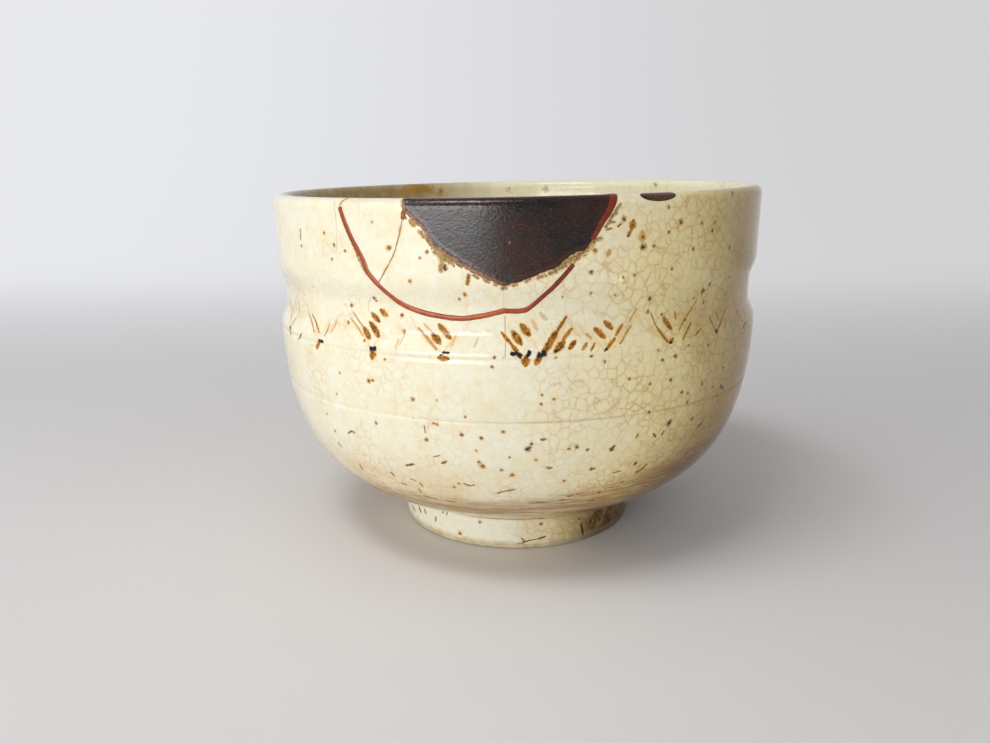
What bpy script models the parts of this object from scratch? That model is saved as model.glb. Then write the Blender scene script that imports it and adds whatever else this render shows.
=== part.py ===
"""Hand-thrown tea bowl, broken at the rim and mended with lacquer.

One turned wall is cut along its break lines into the pot, three sherds set back in place,
the dark lacquer that fills the lost half-moon and a chip, and the red lacquer let into the breaks.
The front of the bowl faces -Y, and the foot stands on Z = 0.
"""

import math

import bmesh
import bpy

# The turned form. Radii are from the axis, and heights of the stages follow down from the rim.
RIM_RADIUS = 0.0613
BOWL_HEIGHT = 0.0875
LIP_THICKNESS = 0.0038
LIP_ROUNDING = 0.0020
WALL_THICKNESS = 0.0046
BAND_HEIGHT = 0.0165
BAND_INSET = 0.0003
STEP_IN_HEIGHT = 0.0057
WAIST_HEIGHT = 0.0046
WAIST_INSET = 0.0018
STEP_OUT_HEIGHT = 0.0048
SHOULDER_HEIGHT = 0.0049
BELLY_INSET = 0.0002
FLOOR_THICKNESS = 0.0065

# Where those stages end, measured down from the rim, and the radii that they reach.
WAIST_TOP_DROP = BAND_HEIGHT + STEP_IN_HEIGHT
WAIST_BASE_DROP = WAIST_TOP_DROP + WAIST_HEIGHT
SHOULDER_DROP = WAIST_BASE_DROP + STEP_OUT_HEIGHT
BELLY_DROP = SHOULDER_DROP + SHOULDER_HEIGHT
BAND_RADIUS = RIM_RADIUS - BAND_INSET
WAIST_RADIUS = RIM_RADIUS - WAIST_INSET
BELLY_RADIUS = RIM_RADIUS - BELLY_INSET

# The belly's curve leans in from upright at its top, and meets the foot at a slope from level.
# Each pull is how far the curve keeps to the direction of its end, outside and inside.
BELLY_LEAN = math.radians(4.0)
BELLY_SLOPE = math.radians(22.6)
OUTSIDE_UPPER_PULL = 0.0290
OUTSIDE_LOWER_PULL = 0.0189
INSIDE_UPPER_PULL = 0.0320
INSIDE_LOWER_PULL = 0.0300

# Fine lines that the potter incised below the shoulder and below the fullest part of the belly.
SHOULDER_LINE_OFFSET = 0.0006
BELLY_LINE_OFFSET = 0.0091
SHOULDER_LINE_DROP = SHOULDER_DROP + SHOULDER_LINE_OFFSET
BELLY_LINE_DROP = BELLY_DROP + BELLY_LINE_OFFSET
LINE_WIDTH = 0.0009
LINE_DEPTH = 0.00025

# Foot ring, hollowed underneath, with a low point left at the centre of the hollow.
FOOT_RADIUS = 0.0305
FOOT_HEIGHT = 0.0084
FOOT_FLARE = 0.0006
FOOT_WIDTH = 0.0062
FOOT_EDGE = 0.0006
RECESS_DEPTH = 0.0052
RECESS_DRAFT = 0.0010
RECESS_POINT = 0.0008

# The rim isn't level: it stands higher at the right and at the front by this much.
RIM_RISE_RIGHT = 0.0008
RIM_RISE_FRONT = 0.0009

# The mend. Sherds keep the joint gap between them, and lacquer keeps it to its bed.
JOINT_GAP = 0.0003
SEAM_WIDTH = 0.0012
SEAM_END_WIDTH = 0.0009
SEAM_PROUD = 0.00015
UPPER_SEAM_FOOT_WIDTH = 0.0008
UPPER_SEAM_RIM_WIDTH = 0.0023
DAB_WIDTH = 0.0008
FILL_PROUD = 0.00005
FILL_CHAMFER = 0.0010

# A chip out of the rim's outer edge, as an ellipsoid: its place along the rim and half its sizes.
CHIP_OFFSET = 0.0302
CHIP_HALF_LENGTH = 0.0050
CHIP_HALF_HEIGHT = 0.0017
CHIP_HALF_DEPTH = 0.0024

# How far the mend reaches to the left of the middle of the front, and how deep it is.
MEND_REACH = 0.0400
MEND_DEPTH = 0.0240

# Break lines on the unrolled rim, as shares of that reach across and of that depth down.
SEAM_LEFT = [
    (-0.950, 0.000), (-0.978, 0.067), (-0.928, 0.279), (-0.838, 0.517),
    (-0.808, 0.625), (-0.750, 0.725),
]
SEAM_MIDDLE = [
    (-0.750, 0.725), (-0.643, 0.875), (-0.495, 0.958), (-0.308, 0.996),
    (-0.185, 0.975), (-0.063, 0.929),
]
SEAM_RIGHT = [
    (-0.063, 0.929), (0.015, 0.933), (0.070, 0.904), (0.175, 0.750),
    (0.265, 0.592), (0.300, 0.517), (0.343, 0.442),
]
RISE = [(0.343, 0.442), (0.380, 0.358), (0.433, 0.213), (0.470, 0.113), (0.495, 0.000)]
FILL_CORNER = [(-0.588, 0.000), (-0.573, 0.104)]
FILL_LEFT = [
    (-0.573, 0.104), (-0.470, 0.254), (-0.448, 0.333), (-0.393, 0.417),
    (-0.248, 0.571), (-0.115, 0.679), (-0.063, 0.713),
]
FILL_RIGHT = [
    (-0.063, 0.713), (0.040, 0.667), (0.148, 0.596), (0.198, 0.575),
    (0.230, 0.529), (0.290, 0.458), (0.343, 0.442),
]
LEFT_CRACK = [(-0.573, 0.104), (-0.595, 0.254), (-0.645, 0.475), (-0.750, 0.725)]

# The red lacquer stops short of the rim at the left. At the right it leaves the break bare for
# these heights below and above the place where the long seam meets the rise.
SEAM_START_DROP = 0.0018
BARE_BELOW_HEIGHT = 0.0026
BARE_ABOVE_HEIGHT = 0.0021
DAB_HEIGHT = 0.0016

TURNING_STEPS = 80
LIP_STEPS = 6
CURVE_STEPS = 4
BELLY_STEPS = 10
LINE_STEPS = 3
CHIP_SEGMENTS = 24
CHIP_RINGS = 12
MERGE = 0.00001

# A cutter clears the wall by this much inside and outside, where it follows the break, and then
# spreads to a share of that outer radius, so that its flat end stays clear. It also tops the rim.
CUTTER_CLEARANCE = 0.0040
CUTTER_SPREAD = 1.42
REACH_UP = 0.0080
LATTICE_MARGIN = 1.2


def clear_scene():
    for old in list(bpy.data.objects):
        bpy.data.objects.remove(old)


def new_collection(name):
    collection = bpy.data.collections.new(name)
    bpy.context.scene.collection.children.link(collection)
    return collection


def glazed_material(name, colour, roughness):
    material = bpy.data.materials.new(name)
    material.use_nodes = True
    shader = material.node_tree.nodes["Principled BSDF"]
    shader.inputs["Base Color"].default_value = (*colour, 1.0)
    shader.inputs["Roughness"].default_value = roughness
    shader.inputs["Metallic"].default_value = 0.0
    return material


def eased(start, end, steps):
    """Points from start to end, level at both ends in the first coordinate, both ends left out."""
    points = []
    for step in range(1, steps):
        t = step / steps
        ease = t * t * (3 - 2 * t)
        points.append((start[0] + (end[0] - start[0]) * ease, start[1] + (end[1] - start[1]) * t))
    return points


def belly_curve(radius, end, slope, upper_pull, lower_pull):
    """A Bezier curve from the belly's fullest level down to an end, given as a radius and a height."""
    top = (radius, BOWL_HEIGHT - BELLY_DROP)
    upper = (top[0] - upper_pull * math.sin(BELLY_LEAN), top[1] - upper_pull * math.cos(BELLY_LEAN))
    lower = (end[0] + lower_pull * math.cos(slope), end[1] + lower_pull * math.sin(slope))
    points = []
    for step in range(BELLY_STEPS + 1):
        t = step / BELLY_STEPS
        weights = ((1 - t) ** 3, 3 * t * (1 - t) ** 2, 3 * t * t * (1 - t), t ** 3)
        points.append(tuple(
            sum(weight * handle[axis] for weight, handle in zip(weights, (top, upper, lower, end)))
            for axis in (0, 1)
        ))
    return points


def incised(radius, drop):
    """A small V-shaped line round the wall."""
    middle = BOWL_HEIGHT - drop
    return [
        (radius, middle + LINE_WIDTH / 2),
        (radius - LINE_DEPTH, middle),
        (radius, middle - LINE_WIDTH / 2),
    ]


def belly_at(points, height):
    """The radius of a descending outline at a height."""
    for upper, lower in zip(points, points[1:]):
        if upper[1] >= height >= lower[1]:
            share = (upper[1] - height) / (upper[1] - lower[1])
            return upper[0] + (lower[0] - upper[0]) * share
    return points[-1][0]


def upper_wall(proud=0.0):
    """The outer side from under the lip down to the shoulder, standing out by proud."""
    band_foot = (BAND_RADIUS + proud, BOWL_HEIGHT - BAND_HEIGHT)
    waist_top = (WAIST_RADIUS + proud, BOWL_HEIGHT - WAIST_TOP_DROP)
    waist_foot = (WAIST_RADIUS + proud, BOWL_HEIGHT - WAIST_BASE_DROP)
    shoulder_top = (BELLY_RADIUS + proud, BOWL_HEIGHT - SHOULDER_DROP)
    return [
        (RIM_RADIUS + proud, BOWL_HEIGHT - LIP_ROUNDING),
        band_foot,
        *eased(band_foot, waist_top, CURVE_STEPS),
        waist_top,
        waist_foot,
        *eased(waist_foot, shoulder_top, CURVE_STEPS),
        shoulder_top,
    ]


def inner_wall(proud=0.0):
    """The inner side from the belly up to the lip, standing out into the bowl by proud."""
    belly = (BELLY_RADIUS - WALL_THICKNESS - proud, BOWL_HEIGHT - BELLY_DROP)
    waist = (belly[0], BOWL_HEIGHT - WAIST_BASE_DROP)
    band = (BAND_RADIUS - WALL_THICKNESS - proud, BOWL_HEIGHT - BAND_HEIGHT)
    lip = (RIM_RADIUS - LIP_THICKNESS - proud, BOWL_HEIGHT - LIP_ROUNDING)
    return [belly, waist, *eased(waist, band, 2), band, *eased(band, lip, 2), lip]


def round_lip(proud=0.0):
    """The rounded top of the wall, from the inner side over to the outer, both ends left out."""
    middle = RIM_RADIUS - LIP_THICKNESS / 2
    points = []
    for step in range(1, LIP_STEPS):
        angle = math.pi * (1 - step / LIP_STEPS)
        across = (LIP_THICKNESS / 2 + proud) * math.cos(angle)
        up = (LIP_ROUNDING + proud) * math.sin(angle)
        points.append((middle + across, BOWL_HEIGHT - LIP_ROUNDING + up))
    return points


def foot_ring():
    """From the outer top of the foot down to its base and up into the hollow, to the axis."""
    inner = FOOT_RADIUS - FOOT_WIDTH
    return [
        (FOOT_RADIUS + FOOT_FLARE / 2, FOOT_HEIGHT / 2),
        (FOOT_RADIUS, FOOT_EDGE),
        (FOOT_RADIUS - FOOT_EDGE, 0.0),
        (inner + FOOT_EDGE, 0.0),
        (inner, FOOT_EDGE),
        (inner - RECESS_DRAFT, RECESS_DEPTH - FOOT_EDGE),
        (inner - RECESS_DRAFT - FOOT_EDGE, RECESS_DEPTH),
        (inner / 2, RECESS_DEPTH - RECESS_POINT / 4),
        (0.0, RECESS_DEPTH - RECESS_POINT),
    ]


def bowl_outline():
    """The whole turned section, from the inner floor up over the lip and down to the hollow of the foot."""
    middle = (0.0, RECESS_DEPTH + FLOOR_THICKNESS)
    foot_top = (FOOT_RADIUS + FOOT_FLARE, FOOT_HEIGHT)
    inside = belly_curve(
        BELLY_RADIUS - WALL_THICKNESS, middle, 0.0, INSIDE_UPPER_PULL, INSIDE_LOWER_PULL
    )
    outside = belly_curve(BELLY_RADIUS, foot_top, BELLY_SLOPE, OUTSIDE_UPPER_PULL, OUTSIDE_LOWER_PULL)
    line_radius = belly_at(outside, BOWL_HEIGHT - BELLY_LINE_DROP)
    belly_line = incised(line_radius, BELLY_LINE_DROP)
    above = [point for point in outside if point[1] > belly_line[0][1]]
    below = [point for point in outside if point[1] < belly_line[-1][1]]
    return [
        *reversed(inside[1:]),
        *inner_wall(),
        *round_lip(),
        *upper_wall(),
        *incised(BELLY_RADIUS, SHOULDER_LINE_DROP),
        *above,
        *belly_line,
        *below,
        *foot_ring(),
    ]


def seam_outline():
    """The upper wall alone, a little thicker than the pot's, for lacquer that stands proud of it."""
    return [*inner_wall(SEAM_PROUD), *round_lip(SEAM_PROUD), *upper_wall(SEAM_PROUD)]


def fill_outline():
    """The upper wall alone with a chamfered lip, for lacquer that rebuilds the rim."""
    outer = upper_wall(FILL_PROUD)
    inner = inner_wall(FILL_PROUD)
    inner_lip = inner[-1][0]
    outer_lip = outer[0][0]
    lip = [
        (inner_lip, BOWL_HEIGHT - FILL_CHAMFER),
        (inner_lip + FILL_CHAMFER, BOWL_HEIGHT),
        (outer_lip - FILL_CHAMFER, BOWL_HEIGHT),
        (outer_lip, BOWL_HEIGHT - FILL_CHAMFER),
    ]
    return [*inner, *lip, *outer]


def turned(name, outline, closed, collection, material):
    """An outline in the XZ plane, spun round the Z axis."""
    points = [(radius, 0.0, height) for radius, height in outline]
    count = len(points)
    edges = [(i, (i + 1) % count) for i in range(count if closed else count - 1)]
    mesh = bpy.data.meshes.new(name)
    mesh.from_pydata(points, edges, [])
    mesh.materials.append(material)
    piece = bpy.data.objects.new(name, mesh)
    collection.objects.link(piece)
    spin = piece.modifiers.new("Turning", "SCREW")
    spin.steps = TURNING_STEPS
    spin.render_steps = TURNING_STEPS
    spin.use_merge_vertices = True
    spin.merge_threshold = MERGE
    spin.use_smooth_shade = True
    return piece


def placed(shares):
    return [(across * MEND_REACH, down * MEND_DEPTH) for across, down in shares]


def break_line(shares):
    """A Catmull-Rom curve through a break line's points, which keeps both ends, in metres."""
    points = placed(shares)
    ends = [points[0], *points, points[-1]]
    line = []
    for before, start, end, after in zip(ends, ends[1:], ends[2:], ends[3:]):
        for step in range(LINE_STEPS):
            t = step / LINE_STEPS
            line.append(tuple(
                0.5 * (
                    2 * b
                    + (c - a) * t
                    + (2 * a - 5 * b + 4 * c - d) * t * t
                    + (3 * b - a - 3 * c + d) * t ** 3
                )
                for a, b, c, d in zip(before, start, end, after)
            ))
    return [*line, points[-1]]


def side_steps(line):
    """For each point of an open line, the step to its right that keeps a parallel line one unit away."""
    normals = []
    for start, end in zip(line, line[1:]):
        length = math.dist(start, end)
        normals.append(((end[1] - start[1]) / length, (start[0] - end[0]) / length))
    steps = []
    for before, after in zip([normals[0], *normals], [*normals, normals[-1]]):
        spread = 1 + before[0] * after[0] + before[1] * after[1]
        steps.append(((before[0] + after[0]) / spread, (before[1] + after[1]) / spread))
    return steps


def grown(outline, distance):
    """A closed outline with every side moved outwards by a distance, or inwards if it is negative."""
    ring = [outline[-1], *outline, outline[0]]
    area = sum(a[0] * b[1] - b[0] * a[1] for a, b in zip(ring, outline))
    outward = distance if area > 0 else -distance
    steps = side_steps(ring)[1:-1]
    return [
        (point[0] + outward * step[0], point[1] + outward * step[1]) for point, step in zip(outline, steps)
    ]


def ribbon(line, start_width, end_width):
    """The closed outline of a strip along an open line, whose width runs from one end's to the other's."""
    steps = side_steps(line)
    last = len(line) - 1
    halves = [(start_width + (end_width - start_width) * i / last) / 2 for i in range(len(line))]
    sides = []
    for sign in (1, -1):
        sides.append([
            (point[0] + sign * half * step[0], point[1] + sign * half * step[1])
            for point, step, half in zip(line, steps, halves)
        ])
    return [*sides[0], *reversed(sides[1])]


def split_at(line, drop):
    """The two stretches of an open line, before and after the first place where it crosses a drop."""
    for index, (start, end) in enumerate(zip(line, line[1:])):
        if min(start[1], end[1]) < drop <= max(start[1], end[1]):
            share = (drop - start[1]) / (end[1] - start[1])
            point = (start[0] + (end[0] - start[0]) * share, drop)
            return [*line[: index + 1], point], [point, *line[index + 1 :]]
    raise ValueError(f"the line never crosses {drop}")


def above_rim(point):
    return (point[0], -REACH_UP)


def wedge(name, outline, cutters):
    """A closed outline on the unrolled rim, wrapped round the axis and carried through the wall."""
    mesh = bmesh.new()
    rings = []
    inner_radius = BELLY_RADIUS - WALL_THICKNESS - CUTTER_CLEARANCE
    outer_radius = RIM_RADIUS + CUTTER_CLEARANCE
    for radius in (inner_radius, outer_radius, outer_radius * CUTTER_SPREAD):
        ring = []
        for across, down in outline:
            angle = across / RIM_RADIUS
            place = (radius * math.sin(angle), -radius * math.cos(angle), BOWL_HEIGHT - down)
            ring.append(mesh.verts.new(place))
        rings.append(ring)
    for inner, outer in zip(rings, rings[1:]):
        for i in range(len(outline)):
            j = (i + 1) % len(outline)
            # Two cutters that meet along a break split its faces the same way, so the gap stays even.
            if outline[i] < outline[j]:
                mesh.faces.new((inner[i], inner[j], outer[j]))
                mesh.faces.new((inner[i], outer[j], outer[i]))
            else:
                mesh.faces.new((inner[i], inner[j], outer[i]))
                mesh.faces.new((inner[j], outer[j], outer[i]))
    ends = [mesh.faces.new(rings[0]), mesh.faces.new(rings[-1])]
    bmesh.ops.triangulate(mesh, faces=ends)
    bmesh.ops.recalc_face_normals(mesh, faces=mesh.faces[:])
    return cutter_from(name, mesh, cutters)


def chip_scoop(name, shrink, cutters):
    """The ellipsoid that the chip took out of the rim's outer edge, less a shrink all round."""
    mesh = bmesh.new()
    bmesh.ops.create_uvsphere(mesh, u_segments=CHIP_SEGMENTS, v_segments=CHIP_RINGS, radius=1.0)
    halves = (CHIP_HALF_LENGTH - shrink, CHIP_HALF_DEPTH - shrink, CHIP_HALF_HEIGHT - shrink)
    bmesh.ops.scale(mesh, vec=halves, verts=mesh.verts)
    scoop = cutter_from(name, mesh, cutters)
    angle = CHIP_OFFSET / RIM_RADIUS
    scoop.location = (RIM_RADIUS * math.sin(angle), -RIM_RADIUS * math.cos(angle), BOWL_HEIGHT)
    scoop.rotation_euler.z = angle
    return scoop


def cutter_from(name, built, cutters):
    mesh = bpy.data.meshes.new(name)
    built.to_mesh(mesh)
    built.free()
    cutter = bpy.data.objects.new(name, mesh)
    cutters.objects.link(cutter)
    cutter.hide_render = True
    cutter.display_type = "WIRE"
    return cutter


def cut(piece, operation, cutter):
    boolean = piece.modifiers.new(f"{operation} {cutter.name}", "BOOLEAN")
    boolean.operation = operation
    boolean.solver = "EXACT"
    boolean.object = cutter


def uneven_rim(cutters):
    """A cage of eight points whose top leans, which carries every piece of the bowl with it."""
    cage = bpy.data.lattices.new("uneven_rim")
    cage.points_u = cage.points_v = cage.points_w = 2
    cage.interpolation_type_u = cage.interpolation_type_v = cage.interpolation_type_w = "KEY_LINEAR"
    reach = RIM_RADIUS * LATTICE_MARGIN
    for point in cage.points:
        side, depth, level = point.co
        rise = (RIM_RISE_RIGHT * 2 * side - RIM_RISE_FRONT * 2 * depth) * LATTICE_MARGIN
        if level > 0:
            point.co_deform.z += rise / BOWL_HEIGHT
    guide = bpy.data.objects.new("uneven_rim", cage)
    guide.scale = (2 * reach, 2 * reach, BOWL_HEIGHT)
    guide.location.z = BOWL_HEIGHT / 2
    guide.hide_render = True
    cutters.objects.link(guide)
    return guide


def mend_outlines():
    """The closed outline of each piece of the mend on the unrolled rim, before any gap is taken off."""
    seam_left, seam_middle, seam_right = map(break_line, (SEAM_LEFT, SEAM_MIDDLE, SEAM_RIGHT))
    fill_left, fill_right, rise = map(break_line, (FILL_LEFT, FILL_RIGHT, RISE))
    left_crack = break_line(LEFT_CRACK)
    corner = placed(FILL_CORNER)
    top_left, top_right, fill_top = map(above_rim, (seam_left[0], rise[-1], corner[0]))
    seam = [*seam_left, *seam_middle[1:], *seam_right[1:]]
    meeting_drop = rise[0][1]
    painted_left = split_at(seam_left, SEAM_START_DROP)[1]
    painted_right = split_at(seam_right, meeting_drop + BARE_BELOW_HEIGHT)[0]
    painted = [*painted_left, *seam_middle[1:], *painted_right[1:]]
    painted_rise = split_at(rise, meeting_drop - BARE_ABOVE_HEIGHT)[1]
    dab = split_at(left_crack, left_crack[0][1] + DAB_HEIGHT)[0]
    return {
        "hole": [top_left, *seam, *rise[1:], top_right],
        "left_sherd": [top_left, *seam_left, *left_crack[-2::-1], corner[0], fill_top],
        "middle_sherd": [*seam_middle, *fill_left[::-1], *left_crack[1:-1]],
        "right_sherd": [*seam_right, *fill_right[-2::-1]],
        "dark_fill": [fill_top, *corner, *fill_left[1:], *fill_right[1:], *rise[1:], top_right],
        "red_seam": ribbon(painted, SEAM_WIDTH, SEAM_END_WIDTH),
        "red_seam_upper": ribbon(
            [*painted_rise, above_rim(painted_rise[-1])], UPPER_SEAM_FOOT_WIDTH, UPPER_SEAM_RIM_WIDTH
        ),
        "red_dab": ribbon(dab, DAB_WIDTH, DAB_WIDTH),
    }


def build():
    clear_scene()
    parts = new_collection("mended_tea_bowl")
    cutters = new_collection("cutters")
    glaze = glazed_material("crackled_glaze", (0.76, 0.69, 0.50), 0.18)
    dark_lacquer = glazed_material("dark_lacquer", (0.035, 0.016, 0.014), 0.28)
    red_lacquer = glazed_material("red_lacquer", (0.26, 0.035, 0.015), 0.35)
    outlines = mend_outlines()
    strips = ("red_seam", "red_seam_upper", "red_dab")
    beds = {name: wedge(f"{name}_bed", grown(outlines[name], JOINT_GAP), cutters) for name in strips}
    pieces = []

    pot = turned("bowl_body", bowl_outline(), False, parts, glaze)
    cut(pot, "DIFFERENCE", wedge("hole", grown(outlines["hole"], JOINT_GAP / 2), cutters))
    cut(pot, "DIFFERENCE", beds["red_seam"])
    cut(pot, "DIFFERENCE", beds["red_seam_upper"])
    cut(pot, "DIFFERENCE", chip_scoop("chip", 0.0, cutters))
    pieces.append(pot)

    for name in ("left_sherd", "middle_sherd", "right_sherd"):
        sherd = turned(name, bowl_outline(), False, parts, glaze)
        cut(sherd, "INTERSECT", wedge(f"{name}_edge", grown(outlines[name], -JOINT_GAP / 2), cutters))
        cut(sherd, "DIFFERENCE", beds["red_seam"])
        if name != "right_sherd":
            cut(sherd, "DIFFERENCE", beds["red_dab"])
        pieces.append(sherd)

    fill = turned("dark_fill", fill_outline(), True, parts, dark_lacquer)
    cut(fill, "INTERSECT", wedge("dark_fill_edge", grown(outlines["dark_fill"], -JOINT_GAP / 2), cutters))
    cut(fill, "DIFFERENCE", beds["red_seam_upper"])
    cut(fill, "DIFFERENCE", beds["red_dab"])
    pieces.append(fill)

    for name in strips:
        strip = turned(name, seam_outline(), True, parts, red_lacquer)
        cut(strip, "INTERSECT", wedge(f"{name}_edge", outlines[name], cutters))
        pieces.append(strip)

    chip = turned("rim_chip_fill", bowl_outline(), False, parts, dark_lacquer)
    cut(chip, "INTERSECT", chip_scoop("chip_edge", JOINT_GAP, cutters))
    pieces.append(chip)

    cage = uneven_rim(cutters)
    for piece in pieces:
        lean = piece.modifiers.new("Uneven rim", "LATTICE")
        lean.object = cage


build()
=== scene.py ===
"""Looks of the mended tea bowl.

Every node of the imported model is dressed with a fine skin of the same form, parted along the same
break lines. Brush marks, specks, chips and stains are fields on the points of the skin, and the
materials turn those fields into glaze, iron and lacquer.
"""

import itertools
import math
import random

import bmesh
import bpy
import numpy as np
from mathutils import Matrix, Vector


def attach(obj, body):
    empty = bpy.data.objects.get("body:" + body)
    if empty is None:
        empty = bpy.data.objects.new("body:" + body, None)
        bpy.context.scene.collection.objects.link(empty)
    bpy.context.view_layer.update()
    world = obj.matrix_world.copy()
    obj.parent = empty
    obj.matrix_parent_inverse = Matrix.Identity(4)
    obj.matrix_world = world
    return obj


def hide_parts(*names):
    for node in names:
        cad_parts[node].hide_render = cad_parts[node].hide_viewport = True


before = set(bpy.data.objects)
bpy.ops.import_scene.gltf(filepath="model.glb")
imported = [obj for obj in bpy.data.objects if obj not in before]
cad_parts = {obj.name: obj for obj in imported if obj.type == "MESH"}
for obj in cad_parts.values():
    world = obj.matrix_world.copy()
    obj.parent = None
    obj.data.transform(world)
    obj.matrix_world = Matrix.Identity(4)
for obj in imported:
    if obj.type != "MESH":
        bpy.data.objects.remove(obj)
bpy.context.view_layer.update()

# The turned form, in metres, as the model has it.
RIM_RADIUS = 0.0613
BOWL_HEIGHT = 0.0875
LIP_THICKNESS = 0.0038
LIP_ROUNDING = 0.0020
WALL_THICKNESS = 0.0046
BAND_HEIGHT = 0.0165
BAND_INSET = 0.0003
STEP_IN_HEIGHT = 0.0057
WAIST_HEIGHT = 0.0046
WAIST_INSET = 0.0018
STEP_OUT_HEIGHT = 0.0048
SHOULDER_HEIGHT = 0.0049
BELLY_INSET = 0.0002
FLOOR_THICKNESS = 0.0065
WAIST_TOP_DROP = BAND_HEIGHT + STEP_IN_HEIGHT
WAIST_BASE_DROP = WAIST_TOP_DROP + WAIST_HEIGHT
SHOULDER_DROP = WAIST_BASE_DROP + STEP_OUT_HEIGHT
BELLY_DROP = SHOULDER_DROP + SHOULDER_HEIGHT
BAND_RADIUS = RIM_RADIUS - BAND_INSET
WAIST_RADIUS = RIM_RADIUS - WAIST_INSET
BELLY_RADIUS = RIM_RADIUS - BELLY_INSET
BELLY_LEAN = math.radians(4.0)
BELLY_SLOPE = math.radians(22.6)
OUTSIDE_UPPER_PULL = 0.0290
OUTSIDE_LOWER_PULL = 0.0189
INSIDE_UPPER_PULL = 0.0320
INSIDE_LOWER_PULL = 0.0300
SHOULDER_LINE_DROP = SHOULDER_DROP + 0.0006
BELLY_LINE_DROP = BELLY_DROP + 0.0091
LINE_WIDTH = 0.0009
LINE_DEPTH = 0.00025
FOOT_RADIUS = 0.0305
FOOT_HEIGHT = 0.0084
FOOT_FLARE = 0.0006
FOOT_WIDTH = 0.0062
FOOT_WALL = 0.0070
FOOT_EDGE = 0.0006
RECESS_DEPTH = 0.0052
RECESS_DRAFT = 0.0010
RECESS_POINT = 0.0008
RIM_RISE_RIGHT = 0.0008
RIM_RISE_FRONT = 0.0009

# The mend, on the rim unrolled: shares of its reach across and of its depth down.
MEND_REACH = 0.0400
MEND_DEPTH = 0.0240
SEAM_LEFT = [
    (-0.950, 0.000), (-0.978, 0.067), (-0.928, 0.279), (-0.838, 0.517),
    (-0.808, 0.625), (-0.750, 0.725),
]
SEAM_MIDDLE = [
    (-0.750, 0.725), (-0.643, 0.875), (-0.495, 0.958), (-0.308, 0.996),
    (-0.185, 0.975), (-0.063, 0.929),
]
SEAM_RIGHT = [
    (-0.063, 0.929), (0.015, 0.933), (0.070, 0.904), (0.175, 0.750),
    (0.265, 0.592), (0.300, 0.517), (0.343, 0.442),
]
RISE = [(0.343, 0.442), (0.380, 0.358), (0.433, 0.213), (0.470, 0.113), (0.495, 0.000)]
FILL_CORNER = [(-0.588, 0.000), (-0.573, 0.104)]
FILL_LEFT = [
    (-0.573, 0.104), (-0.470, 0.254), (-0.448, 0.333), (-0.393, 0.417),
    (-0.248, 0.571), (-0.115, 0.679), (-0.063, 0.713),
]
FILL_RIGHT = [
    (-0.063, 0.713), (0.040, 0.667), (0.148, 0.596), (0.198, 0.575),
    (0.230, 0.529), (0.290, 0.458), (0.343, 0.442),
]
LEFT_CRACK = [(-0.573, 0.104), (-0.595, 0.254), (-0.645, 0.475), (-0.750, 0.725)]
SEAM_WIDTH = 0.0012
SEAM_END_WIDTH = 0.0009
SEAM_PROUD = 0.00015
UPPER_SEAM_FOOT_WIDTH = 0.0008
UPPER_SEAM_RIM_WIDTH = 0.0023
DAB_WIDTH = 0.0008
FILL_PROUD = 0.00005
FILL_CHAMFER = 0.0010
SEAM_START_DROP = 0.0018
BARE_BELOW_HEIGHT = 0.0026
BARE_ABOVE_HEIGHT = 0.0021
DAB_HEIGHT = 0.0016
CHIP_OFFSET = 0.0302
CHIP_HALF_LENGTH = 0.0050
CHIP_HALF_HEIGHT = 0.0017
CHIP_HALF_DEPTH = 0.0024

# Gaps between the dressed pieces: a hair at a crack, and a little more round lacquer.
CRACK_GAP = 0.00004
BED_GAP = 0.00003

# How finely curves are stepped, and how soft the corners of the section are.
ARC_STEPS = 24
LINE_STEPS = 12
SECTION_STEP = 0.0001
CORNER_SOFTNESS = 0.00022
CHART_STEP = 0.0001
CHART_REACH = 7
CHART_WIDTH = 0.064
CHART_HEIGHT = 0.090
MARK_STEP = 0.0001
LIP_MARGIN = 0.0004
LIP_DEPTH = 0.0006
LIP_STEPS = 60
SHARP_ANGLE = math.radians(38)

# The skin is a lattice of square cells: cells across at the root, and how often each may be halved.
ROOT_CELLS = 20
PLAIN_LEVEL = 3
FINEST_LEVEL = 7

# How far each level of cells reaches round a mark, counted in the finest cells.
FULL_REACHES = ((7, 3), (6, 4), (5, 8))
SEEN_REACHES = ((7, 1), (6, 2), (5, 1))
HIDDEN_REACHES = ((6, 1), (4, 1))
BREAK_REACHES = ((6, 1), (5, 1))

# How far to both sides of the front the photograph sees the wall, and how far the mend goes.
SEEN_AZIMUTH = 1.25
MEND_AZIMUTH = 0.75

# Cutters clear the wall, and spread so that their flat ends stay clear.
CUTTER_CLEARANCE = 0.0040
CUTTER_SPREAD = 1.42
REACH_UP = 0.0080

# Relief in metres: how deep or high it is, and how far it reaches.
THROWING_DEPTH = 0.00005
SCAR_DEPTH = 0.00016
BLOT_DEPTH = 0.00003
EDGE_DEPTH = 0.00009
EDGE_REACH = 0.00028
BUMP_HEIGHT = 0.00042
BUMP_REACH = 0.0007
ROLL_DEPTH = 0.00012
ROLL_REACH = 0.0005
SWELL_HEIGHT = 0.00007
SWELL_INSET = 0.0009
SWELL_REACH = 0.00028
PIT_DEPTH = 0.00007
PIT_REACH = 0.00035

# The photograph's frame and camera, and the place that the lights are turned to.
PHOTO_WIDTH = 990
PHOTO_HEIGHT = 743
FOCAL_PIXELS = 900
SENSOR_WIDTH = 36
LIGHT_TARGET = Vector((0.0, 0.0, 0.06))
CAMERA_PLACE = Vector((0.0, -0.2377, 0.0985))
CAMERA_PITCH = math.radians(14.24)
CAMERA_YAW = math.radians(-1.40)
CAMERA_ROLL = math.radians(-0.48)

# The stretch of a line of sight that is searched for the bowl, in metres from the camera.
SIGHT_START = 0.12
SIGHT_END = 0.34
SIGHT_STEPS = 4401

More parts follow.
